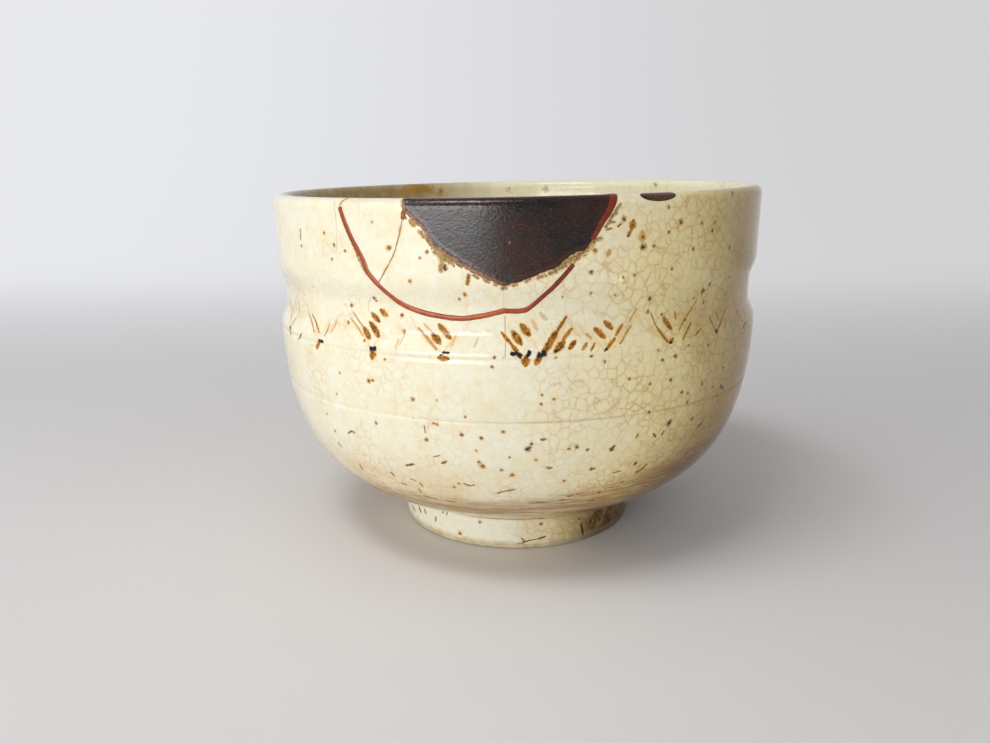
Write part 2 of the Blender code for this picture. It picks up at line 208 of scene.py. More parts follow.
# Single spots in photograph pixels: a bump of the glaze, a pit in the dark fill and a dark drop on it.
BUMP_PIXEL = (622.0, 280.6)
PIT_PIXEL = (508.0, 242.0)
DROP_PIXEL = (507.8, 277.5)

# How much wider than its reading each kind of mark is drawn, because its rim is soft. A speck's reading is
# its radius.
STROKE_SWELL = 1.2
BLOT_SWELL = 1.25
MARK_SWELL = 1.55
SCAR_SWELL = 1.3
SPECK_SWELL = 2.8

# Brush strokes of the frieze in photograph pixels: both ends, the width, and how dark the core is.
STROKES = [
    (308.5, 313.5, 314.3, 332.5, 1.1, 0.1), (312, 314.1, 319.4, 333, 1.5, 0.3),
    (329.8, 323.3, 324.6, 335.9, 1.4, 0), (336.5, 321, 330.5, 333, 1.6, -0.3),
    (295.3, 317.6, 290.7, 333, 1.3, 0), (301.6, 333.6, 298.2, 339.4, 2, 0.3),
    (319, 342.5, 316.5, 348, 4, 0.3), (364.2, 328.4, 369.8, 338.2, 4.6, 0.9),
    (370.2, 322.6, 378.6, 336.2, 5, 0.9), (372.2, 313.6, 379.2, 321.2, 4.6, 0.5),
    (380.8, 310, 386.8, 315.4, 4.6, 0.4), (352.7, 311.8, 363.2, 326.9, 1.4, -0.1),
    (350.4, 317.6, 363, 336, 1.6, -0.2), (372.9, 350.5, 372.3, 358, 6, 0.5),
    (398.5, 338.5, 396, 349, 2.2, -0.5), (405, 333, 399.5, 345, 1.8, -0.5),
    (433, 334.2, 439.6, 342.8, 5.4, 0.8), (439.2, 325, 450, 337.8, 4.8, 0.4),
    (418.2, 327.9, 437, 349.8, 2.2, 0), (423.8, 323.3, 432.5, 332.5, 1.6, -0.3),
    (456, 336, 451, 346, 2.2, -0.4), (438.9, 358, 448, 358.6, 5, 0.5), (478, 338, 474, 347, 2, -0.5),
    (501.5, 332.5, 512.5, 345.5, 2.6, 0.3), (512, 345, 520, 356.5, 3.4, 0.6),
    (512.8, 332, 521, 343.9, 5.4, 0.6), (521.4, 325, 529.2, 334.8, 5.4, 0.6),
    (531.9, 319.8, 537.1, 329.6, 3, -0.4), (540, 313, 546.8, 319.8, 3.2, -0.4),
    (525.8, 357.5, 525.6, 365, 6.4, 0.6), (566.4, 316.4, 557, 331.5, 2.8, 0.6),
    (557, 331.5, 543.5, 353, 5.2, 0.7), (540.2, 357, 535.9, 363.8, 4.8, 0.2),
    (571.8, 328.4, 562.6, 340, 2.8, 0.3), (563.6, 342.2, 555.4, 351.4, 5.6, 1),
    (575.2, 341, 569.4, 348.6, 3.8, 1), (587, 342.8, 582.4, 349.7, 2.8, 0),
    (595, 342.8, 591, 350.8, 1.8, 0.2), (595, 328.6, 604.4, 337.2, 4.8, 0.5),
    (604.6, 321.6, 612, 328.6, 4.2, 0.5), (622.6, 324.4, 615.7, 335.3, 2.6, 0.3),
    (615, 338, 606.4, 348.9, 2.6, 0.3), (623.8, 338.2, 619.7, 344, 1.6, 0.1),
    (585.9, 333.6, 591.6, 338.2, 2.2, -0.2), (631, 325.7, 621.9, 340.5, 1.8, -0.1),
    (636.7, 308.1, 629.3, 321, 1.6, -0.2), (663.7, 317.8, 671.4, 328.9, 4.4, 0.5),
    (657, 327.6, 668.6, 342.8, 2.6, 0.4), (673, 338.4, 669.9, 343, 2.8, 0.8),
    (679.2, 330.3, 696.8, 299.8, 1.6, 0), (691.2, 322, 682.9, 339.6, 1.8, 0.4),
    (700.5, 328.9, 695.4, 335.4, 1.8, 0.2), (674.6, 311.8, 676.4, 319.2, 2.6, -0.1),
    (650.5, 312.5, 657, 327.6, 1.4, 0), (709.7, 315.5, 715.7, 331.8, 1.5, 0.9),
    (716.2, 311.8, 719.4, 320.2, 1.6, 0.9), (727.3, 306.3, 717.3, 331.5, 1.8, 0.6),
    (726.4, 291.6, 725.5, 295.4, 1.6, 1), (725.6, 318, 724.6, 329.2, 1.3, 0.6),
    (743, 324, 745.3, 330.3, 1.8, 1), (633.6, 221.5, 631.8, 228.4, 6, 0.2),
    (642, 232, 642.6, 241, 6.4, -0.3), (609.5, 250.5, 607.6, 255.5, 4.2, -0.2),
]

# Blue-black blots where the brush was set down, as short strokes: both ends and the width.
BLOTS = [
    (318.6, 340.6, 322.6, 341.6, 2.2), (371, 348.5, 374.8, 349, 3.4), (369.8, 346.6, 371, 348, 1.4),
    (376.2, 346.4, 375, 348.2, 1.4), (443.4, 352.6, 448, 352.6, 2.4), (440, 355.5, 443, 354.5, 1.4),
    (512, 354, 517, 353.4, 3.4), (517, 353.4, 520.6, 356.6, 3.6), (529.4, 351.8, 527.4, 356.2, 2.8),
    (539.4, 355.4, 544.8, 353.2, 4.2), (542.6, 351.8, 543.4, 354, 3), (605.6, 350, 606.6, 349.4, 2.4),
    (671.8, 342.6, 670, 343.2, 1.8), (716.5, 330.8, 716.7, 333, 2.4), (555.8, 351.6, 557.2, 349.6, 1.8),
    (743.6, 326, 744.6, 329, 2),
]

# Iron specks in photograph pixels: place, radius, and tone from orange to black.
SPECKS = [
    (301.5, 246, 1.2, 0.4), (324, 233, 1.2, 0.4), (334, 245, 1.2, 0.5), (332, 259, 1.1, 0.5),
    (345, 251, 1.1, 0.5), (372, 222, 1, 0.3), (389, 248, 1.9, 0.5), (427, 252, 1.5, 0.6),
    (420, 258, 1.1, 0.1), (410, 281, 1.3, 0.5), (374, 298, 1.3, 0.7), (376.2, 300.8, 0.9, 0.5),
    (464.8, 294.6, 1.5, 0.2), (459.4, 299.2, 1.1, 0.5), (402.1, 315.3, 1.2, 0.8),
    (404.4, 331.3, 1.3, 0.7), (351.6, 305.5, 1.3, 0.7), (348.1, 322.7, 1.3, 0.5),
    (364.2, 340.5, 1.2, 0.5), (384.9, 359.5, 1.1, 0.3), (624, 219, 1.8, 0.8), (681, 221.8, 1.9, 0.7),
    (622.8, 277.2, 0.9, 0.2), (643, 237, 1.4, 0.5), (643.2, 247, 2.2, 0.9), (654, 246, 1.2, 0.6),
    (669, 232, 1.2, 0.6), (702, 223, 1.3, 0.7), (715, 222.5, 1.3, 0.6), (712.5, 230.5, 1.4, 0.7),
    (693, 249, 1.2, 0.7), (729.5, 247.5, 1.3, 0.8), (672, 269, 1.2, 0.6), (591.3, 272.2, 1.5, 0.9),
    (634.5, 275, 1.1, 0.6), (595, 250.5, 1.6, 0.2), (649.8, 298.7, 1.4, 1), (704, 291, 1.3, 0.8),
    (729, 277, 1.3, 0.7), (703.7, 302.1, 1.1, 0.8), (694, 298.4, 1.1, 0.1), (684.8, 319.7, 1.1, 0.7),
    (647.8, 311.8, 1.4, 0.4), (661.6, 314.6, 1.1, 0.5), (658.4, 350.2, 1.3, 0.2),
    (675.5, 356.2, 1.4, 0.9), (662.6, 360.1, 1.3, 0.8), (688.5, 345.3, 1, 0.7),
    (708.3, 345.1, 1.3, 0.4), (723.1, 367.8, 1.3, 0.6), (615.1, 295.2, 1, 0.2), (591, 293.4, 1, 0.1),
    (562.6, 296.9, 0.9, 0.1), (494.6, 357.7, 1.1, 0.8), (492.3, 366.9, 1.2, 0.7),
    (556, 357.7, 0.9, 0.8), (591.6, 356, 1.1, 0.8), (604.8, 361.4, 1.1, 0.2), (339.6, 372.9, 0.9, 0.1),
    (369, 381, 1.6, 0.4), (372.8, 380.6, 1, 0.3), (337, 394, 1, 0.2), (413, 399.3, 1.5, 0.5),
    (327, 414, 0.9, 0.3), (376, 423, 1.3, 0.3), (335, 431, 1.2, 0.3), (461.4, 434.6, 1.5, 0.6),
    (426.5, 439.8, 1.6, 0.5), (434, 423.5, 1.2, 0.5), (437, 424.5, 1.1, 0.5), (481.4, 438.2, 1.4, 0.6),
    (503, 432, 1.2, 0.5), (465, 417, 1.1, 0.2), (476.5, 451, 1, 0.1), (482.6, 466.4, 1.9, 0.6),
    (479, 462.4, 1.2, 0.5), (501.5, 470, 1.2, 0.5), (512, 475.4, 1.7, 0.3), (444, 462.6, 1.2, 0.5),
    (459, 483.6, 1.1, 0.6), (454.4, 487, 1.3, 0.3), (509.5, 457.5, 1, 0.6), (605, 362, 1, 0.3),
    (554, 399, 1, 0.3), (542, 395, 1.1, 0.4), (541, 404, 1, 0.5), (528, 449, 1.8, 0.9),
    (531.4, 444, 1.3, 0.7), (536, 460, 1.2, 0.6), (548, 468, 1.2, 0.6), (577, 447, 1.4, 0.7),
    (569, 449, 1.1, 0.6), (587.5, 450, 1.2, 0.7), (612, 449, 1.8, 0.9), (591, 469, 1.5, 0.7),
    (636, 463, 1.3, 0.7), (637, 472, 1.3, 0.7), (669, 423, 1.9, 0.8), (649, 412, 1.2, 0.7),
    (650, 384, 1.1, 0.7), (629.5, 379, 1.2, 0.4), (662.5, 360, 1.2, 0.7), (671, 380, 1.3, 0.7),
    (682, 392, 1.4, 0.7), (688, 393, 1.2, 0.6), (687.5, 402, 1.3, 0.7), (721, 387, 1.4, 0.7),
    (712.5, 387, 1.2, 0.6), (717, 396, 1.3, 0.7), (702, 384, 1.2, 0.6), (692, 419, 1.4, 0.7),
    (700, 425, 1.4, 0.8), (710, 426, 1.3, 0.7), (599, 492.5, 1.4, 0.7), (578, 494, 1.2, 0.6),
    (564, 481, 1.3, 0.2), (460, 533.5, 1.3, 0.4), (480, 522, 1.2, 0.4), (541, 524, 1.1, 0.5),
    (579, 519, 1.2, 0.5), (454, 508, 1.1, 0.5), (443, 512, 0.9, 0.4),
]

# Longer marks in the glaze in photograph pixels: both ends, width and tone.
MARKS = [
    (300.4, 229, 300.8, 240, 1.2, 0.6), (445.2, 265.2, 445, 269.8, 3, 1),
    (468.6, 276, 467.4, 284, 2.2, 0.5), (631.4, 227, 633.6, 224.5, 2.6, 0.5),
    (630.4, 231.5, 628.2, 236, 2.6, 1), (668.6, 206, 669.2, 208, 2.2, 0),
    (710.4, 283, 708.8, 285.4, 2.6, 1), (703.4, 288, 701.8, 294, 2, 0.8),
    (348, 433.4, 351.5, 431, 1.2, 0.7), (351.5, 431, 355, 433, 1.1, 0.7),
    (338.6, 443, 341.4, 447, 1.6, 0.6), (360, 465, 362.5, 469, 1.8, 0.6),
    (406, 465.6, 413.6, 464.2, 1.7, 0.7), (391, 472.4, 394.4, 475.8, 1.6, 0.7),
    (441.5, 463.5, 446.5, 461.5, 1.4, 0.7), (464, 483.6, 470, 486, 1.3, 0.6),
    (470, 486, 475, 485, 1, 0.6), (497.4, 493.4, 503, 491.4, 1.3, 0.8),
    (503, 491.4, 515, 489.6, 1.1, 0.8), (446, 500.6, 456, 502.2, 1.4, 0.6),
    (424, 496, 437, 499, 1.6, 0.6), (567, 496.6, 573, 495.4, 1.3, 0.7),
    (517.6, 548.4, 521, 544, 1.7, 1), (521, 544, 524.9, 541.5, 1.2, 1),
    (524.9, 541.5, 532.3, 539.9, 0.9, 1), (532.3, 539.9, 538.1, 538.7, 0.6, 1),
    (538.1, 538.7, 545.1, 536.4, 1.2, 1), (412.4, 505.5, 415, 510.5, 1.8, 0.6),
    (419, 507, 421, 512, 1.8, 0.6), (424.5, 509, 426, 513.5, 1.4, 0.5),
    (655.8, 437, 653.4, 433.6, 1.6, 0.8), (661.5, 435, 664, 430.8, 1.5, 0.8),
    (696, 428.4, 703, 421, 1.6, 0.8), (640, 470.4, 647, 464.2, 1.5, 0.8),
    (731.4, 191.5, 733, 195, 2, 0.7), (618, 226.5, 621, 224, 1.8, 0.3),
    (559, 500.4, 566, 499.4, 1.4, 0.6), (636, 462, 634.6, 465, 1.6, 0.8),
    (636, 471.8, 641, 470.2, 1.3, 0.8), (612.8, 472.9, 621, 470.8, 1.2, 0.6),
    (621, 482.6, 624, 481, 1.3, 0.7), (641.8, 486.8, 647.6, 485, 1.4, 0.8),
    (611, 450.2, 614.4, 446, 2, 0.9), (636, 438, 637.8, 434.2, 1.3, 0.7),
    (667.4, 425, 670.8, 420.2, 2.4, 0.8), (685, 456, 688.6, 452.4, 1.5, 0.9),
    (678, 461, 683, 458, 1.4, 0.8), (691.3, 420, 693.4, 417.6, 1.8, 0.8),
    (699, 427.4, 701, 423.8, 1.5, 0.8), (720.4, 385.4, 723.4, 389, 2.2, 0.9),
    (731.8, 403, 734, 397.6, 1.6, 0.8), (590, 469.6, 595, 468.4, 1.6, 0.7),
    (548, 468.6, 552, 467.6, 1.3, 0.6), (541, 439.8, 545.6, 439.2, 1.8, 0.4),
    (525.4, 449.6, 530.6, 447.6, 1.8, 0.9), (521.6, 538.2, 524.9, 541.5, 0.9, 1),
    (581.2, 524, 583, 534.6, 2.4, 0.9), (590.6, 519, 590.2, 523.6, 2.8, 0.9),
    (600, 517, 599.4, 521, 3, 0.9), (724, 412, 727, 406, 1.3, 0.7), (714, 434, 718, 428.6, 1.3, 0.7),
    (668, 470, 675, 466, 1.3, 0.7), (655, 478, 662, 474.6, 1.2, 0.7), (401, 483, 407, 485, 1.2, 0.5),
    (410, 478.6, 416, 481, 1.1, 0.4), (420, 483, 423, 487, 1.3, 0.4),
    (418.6, 489, 421.4, 492.4, 1.4, 0.3), (424, 425, 425.4, 433, 0.9, 0.3),
    (397, 489, 400.6, 490.6, 1.2, 0.4), (433, 457, 440, 455.6, 0.9, 0.5),
    (447, 511, 446.4, 515, 1.3, 0.4), (436, 517, 435.4, 521, 1.2, 0.5),
]

# Brown ground that shows where the glaze broke away beside the dark fill: both ends and the width.
SCARS = [
    (410.4, 221.6, 414, 225.6, 3), (419, 231.6, 424, 236.4, 3), (427, 240, 431, 246, 1.8),
    (436, 250.4, 446, 259, 5.6), (446, 259, 453, 262.6, 4.6), (441.6, 261, 440.4, 270, 3.4),
    (456, 263, 462, 267.6, 1.8), (468.8, 275, 467.6, 284, 2.4), (474, 275.6, 478, 278, 2.2),
    (484, 279.6, 489, 282, 2), (494, 284.4, 497, 286, 1.6), (502, 288.4, 506, 288, 2.4),
    (513, 286, 517, 284.8, 1.6), (525, 282, 530, 279.8, 2), (538, 277.6, 545, 275.8, 2.4),
    (550, 273.6, 557, 271, 3), (559, 268.6, 566, 263, 4.6), (566, 263, 577, 256.6, 3.8),
    (577, 256.6, 588.6, 248, 4.6), (588.6, 248, 594, 240.4, 3.6), (594, 240.4, 600.8, 238.4, 2.8),
    (606, 227, 611, 219, 2), (611, 219, 616, 211, 2.2), (616, 211, 620.4, 204.6, 2.2),
    (609, 223, 614.6, 222, 1.6), (612.6, 216, 617, 213.4, 1.6), (607, 229.6, 612, 228.4, 1.4),
    (344, 220, 350, 238, 1.3), (350, 238, 357, 255, 1.5), (404.4, 214.6, 406, 218.6, 1.4),
    (357, 256, 362, 266, 1.6), (362, 266, 366, 274, 1.4),
]

# Fine cracks that don't part the wall: points in photograph pixels, width and tone.
HAIRLINES = [
    ([(505.2, 316.0), (505.0, 330.0), (505.6, 343.0), (505.2, 357.0)], 1.1, 0.35),
    ([(335.0, 201.0), (335.6, 215.0), (336.8, 232.0), (337.0, 248.0)], 0.8, 0.1),
    ([(371.0, 297.0), (368.4, 303.0), (368.6, 311.0)], 0.8, 0.1),
]

# Stains and spots on the far inner wall: place and half length in photograph pixels, width in metres, tone.
INNER_STAINS = [
    (412.0, 190.0, 2.0, 0.0036, 0.3), (421.0, 188.6, 4.0, 0.0044, 0.5), (428.0, 189.6, 2.0, 0.0034, 0.4),
    (402.0, 192.0, 3.0, 0.0018, 0.2), (440.4, 190.6, 0.6, 0.0014, 0.6), (546.0, 188.0, 0.6, 0.0015, 0.9),
    (655.0, 185.0, 0.6, 0.0010, 0.9), (509.0, 188.6, 0.6, 0.0010, 0.2), (579.0, 190.0, 0.8, 0.0006, 0.7),
]

# The tips of the frieze's motifs: where the photograph sees them, and even steps apart where it doesn't.
MOTIF_TIP_HEIGHT = 0.0564
SEEN_TIPS = np.radians([-60.0, -46.5, -30.1, -14.3, 0.9, 4.9, 17.5, 31.7, 46.8])
HIDDEN_TIPS = np.radians(np.linspace(62.0, 298.0, 17))

# How many specks are strewn on the outer wall out of sight and on the inner wall, how wide and how long.
HIDDEN_SPECKS = 260
INNER_SPECKS = 150
SPECK_SIZE = 0.00038
SPECK_LENGTH = 0.0005


def ways_along(line):
    """How far along an open line of points each of them is."""
    return np.concatenate([[0.0], np.cumsum(np.linalg.norm(np.diff(line, axis=0), axis=1))])


def ramp(values, start, end):
    """0 before the start, 1 past the end, and even between them. The end may be the lower of the two."""
    return np.clip((values - start) / (end - start), 0, 1)


def faded(gap, reach):
    """1 at no gap, and evenly less out to the reach."""
    return np.clip(1 - gap / reach, 0, 1)


def wrapped(angle):
    """An angle within half a turn of the front."""
    return (angle + math.pi) % (2 * math.pi) - math.pi


def turned(radius, azimuth, height):
    """A place by its distance from the axis, its azimuth and its height."""
    return Vector((radius * math.sin(azimuth), -radius * math.cos(azimuth), height))


def linked(name, data):
    """A new object of the scene."""
    new = bpy.data.objects.new(name, data)
    bpy.context.scene.collection.objects.link(new)
    return new


def eased(start, end):
    """Points from start to end, level at both ends in the first coordinate, both ends left out."""
    points = []
    for step in range(1, ARC_STEPS):
        t = step / ARC_STEPS
        ease = t * t * (3 - 2 * t)
        points.append((start[0] + (end[0] - start[0]) * ease, start[1] + (end[1] - start[1]) * t))
    return points


def belly_curve(radius, end, slope, upper_pull, lower_pull):
    """A Bezier curve from the belly's fullest level down to an end, given as a radius and a height."""
    top = (radius, BOWL_HEIGHT - BELLY_DROP)
    upper = (top[0] - upper_pull * math.sin(BELLY_LEAN), top[1] - upper_pull * math.cos(BELLY_LEAN))
    lower = (end[0] + lower_pull * math.cos(slope), end[1] + lower_pull * math.sin(slope))
    points = []
    for step in range(ARC_STEPS + 1):
        t = step / ARC_STEPS
        weights = ((1 - t) ** 3, 3 * t * (1 - t) ** 2, 3 * t * t * (1 - t), t ** 3)
        handles = zip(top, upper, lower, end)
        points.append(tuple(sum(share * value for share, value in zip(weights, axis)) for axis in handles))
    return points


def incised(radius, drop):
    """A small V-shaped line round the wall."""
    middle = BOWL_HEIGHT - drop
    return [
        (radius, middle + LINE_WIDTH / 2),
        (radius - LINE_DEPTH, middle),
        (radius, middle - LINE_WIDTH / 2),
    ]


def radius_at(points, height):
    """The radius of a descending outline at a height."""
    for upper, lower in zip(points, points[1:]):
        if upper[1] >= height >= lower[1]:
            share = (upper[1] - height) / (upper[1] - lower[1])
            return upper[0] + (lower[0] - upper[0]) * share
    return points[-1][0]


def upper_wall(proud=0.0):
    """The outer side from under the lip down to the shoulder, standing out by proud."""
    band_foot = (BAND_RADIUS + proud, BOWL_HEIGHT - BAND_HEIGHT)
    waist_top = (WAIST_RADIUS + proud, BOWL_HEIGHT - WAIST_TOP_DROP)
    waist_foot = (WAIST_RADIUS + proud, BOWL_HEIGHT - WAIST_BASE_DROP)
    shoulder_top = (BELLY_RADIUS + proud, BOWL_HEIGHT - SHOULDER_DROP)
    return [
        (RIM_RADIUS + proud, BOWL_HEIGHT - LIP_ROUNDING),
        band_foot,
        *eased(band_foot, waist_top),
        waist_top,
        waist_foot,
        *eased(waist_foot, shoulder_top),
        shoulder_top,
    ]


def inner_wall(proud=0.0):
    """The inner side from the belly up to the lip, standing out into the bowl by proud."""
    belly = (BELLY_RADIUS - WALL_THICKNESS - proud, BOWL_HEIGHT - BELLY_DROP)
    waist = (belly[0], BOWL_HEIGHT - WAIST_BASE_DROP)
    band = (BAND_RADIUS - WALL_THICKNESS - proud, BOWL_HEIGHT - BAND_HEIGHT)
    lip = (RIM_RADIUS - LIP_THICKNESS - proud, BOWL_HEIGHT - LIP_ROUNDING)
    return [belly, waist, *eased(waist, band), band, *eased(band, lip), lip]


def round_lip(proud=0.0):
    """The rounded top of the wall, from the inner side over to the outer, both ends left out."""
    middle = RIM_RADIUS - LIP_THICKNESS / 2
    points = []
    for step in range(1, ARC_STEPS):
        angle = math.pi * (1 - step / ARC_STEPS)
        across = (LIP_THICKNESS / 2 + proud) * math.cos(angle)
        up = (LIP_ROUNDING + proud) * math.sin(angle)
        points.append((middle + across, BOWL_HEIGHT - LIP_ROUNDING + up))
    return points


def foot_ring():
    """From the outer top of the foot down to its base and up into the hollow, to the axis."""
    inner = FOOT_RADIUS - FOOT_WIDTH
    return [
        (FOOT_RADIUS + FOOT_FLARE / 2, FOOT_HEIGHT / 2),
        (FOOT_RADIUS, FOOT_EDGE),
        (FOOT_RADIUS - FOOT_EDGE, 0.0),
        (inner + FOOT_EDGE, 0.0),
        (inner, FOOT_EDGE),
        (inner - RECESS_DRAFT, RECESS_DEPTH - FOOT_EDGE),
        (inner - RECESS_DRAFT - FOOT_EDGE, RECESS_DEPTH),
        (inner / 2, RECESS_DEPTH - RECESS_POINT / 4),
        (0.0, RECESS_DEPTH - RECESS_POINT),
    ]


def bowl_outline():
    """The whole turned section, from the inner floor up over the lip and down into the foot's hollow."""
    middle = (0.0, RECESS_DEPTH + FLOOR_THICKNESS)
    foot_top = (FOOT_RADIUS + FOOT_FLARE, FOOT_HEIGHT)
    inside = belly_curve(
        BELLY_RADIUS - WALL_THICKNESS, middle, 0.0, INSIDE_UPPER_PULL, INSIDE_LOWER_PULL
    )
    outside = belly_curve(BELLY_RADIUS, foot_top, BELLY_SLOPE, OUTSIDE_UPPER_PULL, OUTSIDE_LOWER_PULL)
    belly_line = incised(radius_at(outside, BOWL_HEIGHT - BELLY_LINE_DROP), BELLY_LINE_DROP)
    above = [point for point in outside if point[1] > belly_line[0][1]]
    below = [point for point in outside if point[1] < belly_line[-1][1]]
    return [
        *reversed(inside[1:]),
        *inner_wall(),
        *round_lip(),
        *upper_wall(),
        *incised(BELLY_RADIUS, SHOULDER_LINE_DROP),
        *above,
        *belly_line,
        *below,
        *foot_ring(),
    ]


def strip_outline():
    """The upper wall alone, a little thicker than the pot's, for lacquer that stands proud of it."""
    return [*inner_wall(SEAM_PROUD), *round_lip(SEAM_PROUD), *upper_wall(SEAM_PROUD)]


def fill_outline():
    """The upper wall alone with a chamfered lip, for lacquer that rebuilds the rim."""
    outer = upper_wall(FILL_PROUD)
    inner = inner_wall(FILL_PROUD)
    lip = [
        (inner[-1][0], BOWL_HEIGHT - FILL_CHAMFER),
        (inner[-1][0] + FILL_CHAMFER, BOWL_HEIGHT),
        (outer[0][0] - FILL_CHAMFER, BOWL_HEIGHT),
        (outer[0][0], BOWL_HEIGHT - FILL_CHAMFER),
    ]
    return [*inner, *lip, *outer]


class Section:
    """A turned outline in even steps with softened corners. Its way counts metres from its first point."""

    def __init__(self, outline, closed):
        points = np.array([*outline, outline[0]] if closed else outline)
        ways = ways_along(points)
        self.closed = closed
        self.length = ways[-1]
        self.way = np.linspace(0.0, self.length, round(self.length / SECTION_STEP) + 1)
        even = np.stack([np.interp(self.way, ways, points[:, axis]) for axis in (0, 1)])
        reach = int(3 * CORNER_SOFTNESS / SECTION_STEP)
        weights = np.exp(-0.5 * (np.arange(-reach, reach + 1) * SECTION_STEP / CORNER_SOFTNESS) ** 2)
        if closed:
            padded = np.hstack([even[:, -reach - 1 : -1], even, even[:, 1 : reach + 1]])
        else:
            padded = np.pad(even, ((0, 0), (reach, reach)), mode="edge")
        self.radius, self.height = (np.convolve(row, weights / weights.sum(), mode="valid") for row in padded)
        if not closed:
            self.radius[[0, -1]] = 0.0
        slope = np.stack([np.gradient(self.radius), np.gradient(self.height)])
        slope /= np.linalg.norm(slope, axis=0)
        self.out_radius, self.out_height = -slope[1], slope[0]
        self.ways = None

    def at(self, values, way):
        return np.interp(way, self.way, values)

    def chart(self):
        """For each small square of the plane that is near the section, the way of its nearest point."""
        shape = (int(CHART_WIDTH / CHART_STEP), int(CHART_HEIGHT / CHART_STEP))
        best = np.full(shape, np.inf)
        ways = np.zeros(shape)
        columns = (self.radius / CHART_STEP).astype(int)
        rows = (self.height / CHART_STEP).astype(int)
        steps = range(-CHART_REACH, CHART_REACH + 1)
        for across, up in itertools.product(steps, steps):
            spots = np.clip(columns + across, 0, shape[0] - 1), np.clip(rows + up, 0, shape[1] - 1)
            gaps = ((spots[0] + 0.5) * CHART_STEP - self.radius) ** 2
            gaps += ((spots[1] + 0.5) * CHART_STEP - self.height) ** 2
            order = np.argsort(-gaps)
            nearer = order[gaps[order] < best[spots[0][order], spots[1][order]]]
            best[spots[0][nearer], spots[1][nearer]] = gaps[nearer]
            ways[spots[0][nearer], spots[1][nearer]] = self.way[nearer]
        return ways

    def nearest(self, radius, height):
        """For each point near the section, the way of the nearest place on it."""
        if self.ways is None:
            self.ways = self.chart()
        columns = np.clip((radius / CHART_STEP).astype(int), 0, self.ways.shape[0] - 1)
        rows = np.clip((height / CHART_STEP).astype(int), 0, self.ways.shape[1] - 1)
        rough = self.ways[columns, rows]
        along = (radius - self.at(self.radius, rough)) * self.at(self.out_height, rough)
        along -= (height - self.at(self.height, rough)) * self.at(self.out_radius, rough)
        return np.clip(rough + along, 0, self.length)


BOWL = Section(bowl_outline(), closed=False)
LIP_WAY = BOWL.way[BOWL.height.argmax()]
OUTSIDE = BOWL.way > LIP_WAY
FOOT_TOP_WAY = BOWL.way[OUTSIDE][np.argmax(BOWL.height[OUTSIDE] < FOOT_HEIGHT)]


def outer_way(height):
    """The way of the outer wall at a height."""
    wall = (BOWL.way > LIP_WAY) & (BOWL.way < FOOT_TOP_WAY + FOOT_WALL)
    return np.interp(-np.asarray(height), -BOWL.height[wall], BOWL.way[wall])


def outer_radius(height):
    return BOWL.at(BOWL.radius, outer_way(height))


def lean(points):
    """The uneven rim: every point rises with its height, to the right and to the front."""
    side, depth, height = points.T
    rise = RIM_RISE_RIGHT * side / RIM_RADIUS - RIM_RISE_FRONT * depth / RIM_RADIUS
    return np.stack([side, depth, height + height / BOWL_HEIGHT * rise], axis=1)


def camera_axes():
    """The camera's right, up and forward directions."""
    cos_yaw, sin_yaw = math.cos(CAMERA_YAW), math.sin(CAMERA_YAW)
    cos_pitch, sin_pitch = math.cos(CAMERA_PITCH), math.sin(CAMERA_PITCH)
    level = Vector((cos_yaw, -sin_yaw, 0.0))
    upright = Vector((sin_pitch * sin_yaw, sin_pitch * cos_yaw, cos_pitch))
    forward = Vector((cos_pitch * sin_yaw, cos_pitch * cos_yaw, -sin_pitch))
    cos_roll, sin_roll = math.cos(CAMERA_ROLL), math.sin(CAMERA_ROLL)
    return level * cos_roll + upright * sin_roll, upright * cos_roll - level * sin_roll, forward


def sight_line(pixel_x, pixel_y):
    """Points along the line of sight through a pixel, as radius, height before the lean, and azimuth."""
    right, up, forward = camera_axes()
    side = (pixel_x - PHOTO_WIDTH / 2) / FOCAL_PIXELS
    rise = (PHOTO_HEIGHT / 2 - pixel_y) / FOCAL_PIXELS
    direction = (forward + right * side + up * rise).normalized()
    reach = np.linspace(SIGHT_START, SIGHT_END, SIGHT_STEPS)
    x, y, z = (CAMERA_PLACE[axis] + reach * direction[axis] for axis in range(3))
    rise_share = (RIM_RISE_RIGHT * x - RIM_RISE_FRONT * y) / RIM_RADIUS / BOWL_HEIGHT
    return np.hypot(x, y), z / (1 + rise_share), np.arctan2(x, -y)


def seen(pixel_x, pixel_y):
    """Where a pixel of the photograph meets the outer wall: azimuth and way."""
    radius, height, azimuth = sight_line(pixel_x, pixel_y)
    wall = np.where((height < BOWL_HEIGHT - 0.0003) & (height > 0.0006), outer_radius(height), -1.0)
    inside = np.flatnonzero(radius <= wall)
    if len(inside) == 0:
        inside = [np.argmin(np.abs(radius - wall) + (wall < 0))]
    first = inside[0]
    return azimuth[first], float(outer_way(height[first]))


def seen_inside(pixel_x, pixel_y):
    """Where a pixel of the photograph meets the far inner wall: azimuth and way."""
    radius, height, azimuth = sight_line(pixel_x, pixel_y)
    beyond = (radius >= RIM_RADIUS - LIP_THICKNESS) & (np.abs(azimuth) > math.pi / 2)
    first = np.flatnonzero(beyond)[0]
    return azimuth[first], float(BOWL.nearest(radius[first : first + 1], height[first : first + 1])[0])


def ripple(values, seed, waves, rough):
    """A smooth wave in one dimension, made of a few sines, between about -1 and 1."""
    draw = random.Random(seed)
    total = np.zeros_like(values)
    for step in range(waves):
        rate = rough * (0.5 + 1.7 * step / waves) * draw.uniform(0.85, 1.15)
        total += math.sqrt(2 / waves) * np.sin(values * rate + draw.uniform(0, 2 * math.pi))
    return total / 1.5


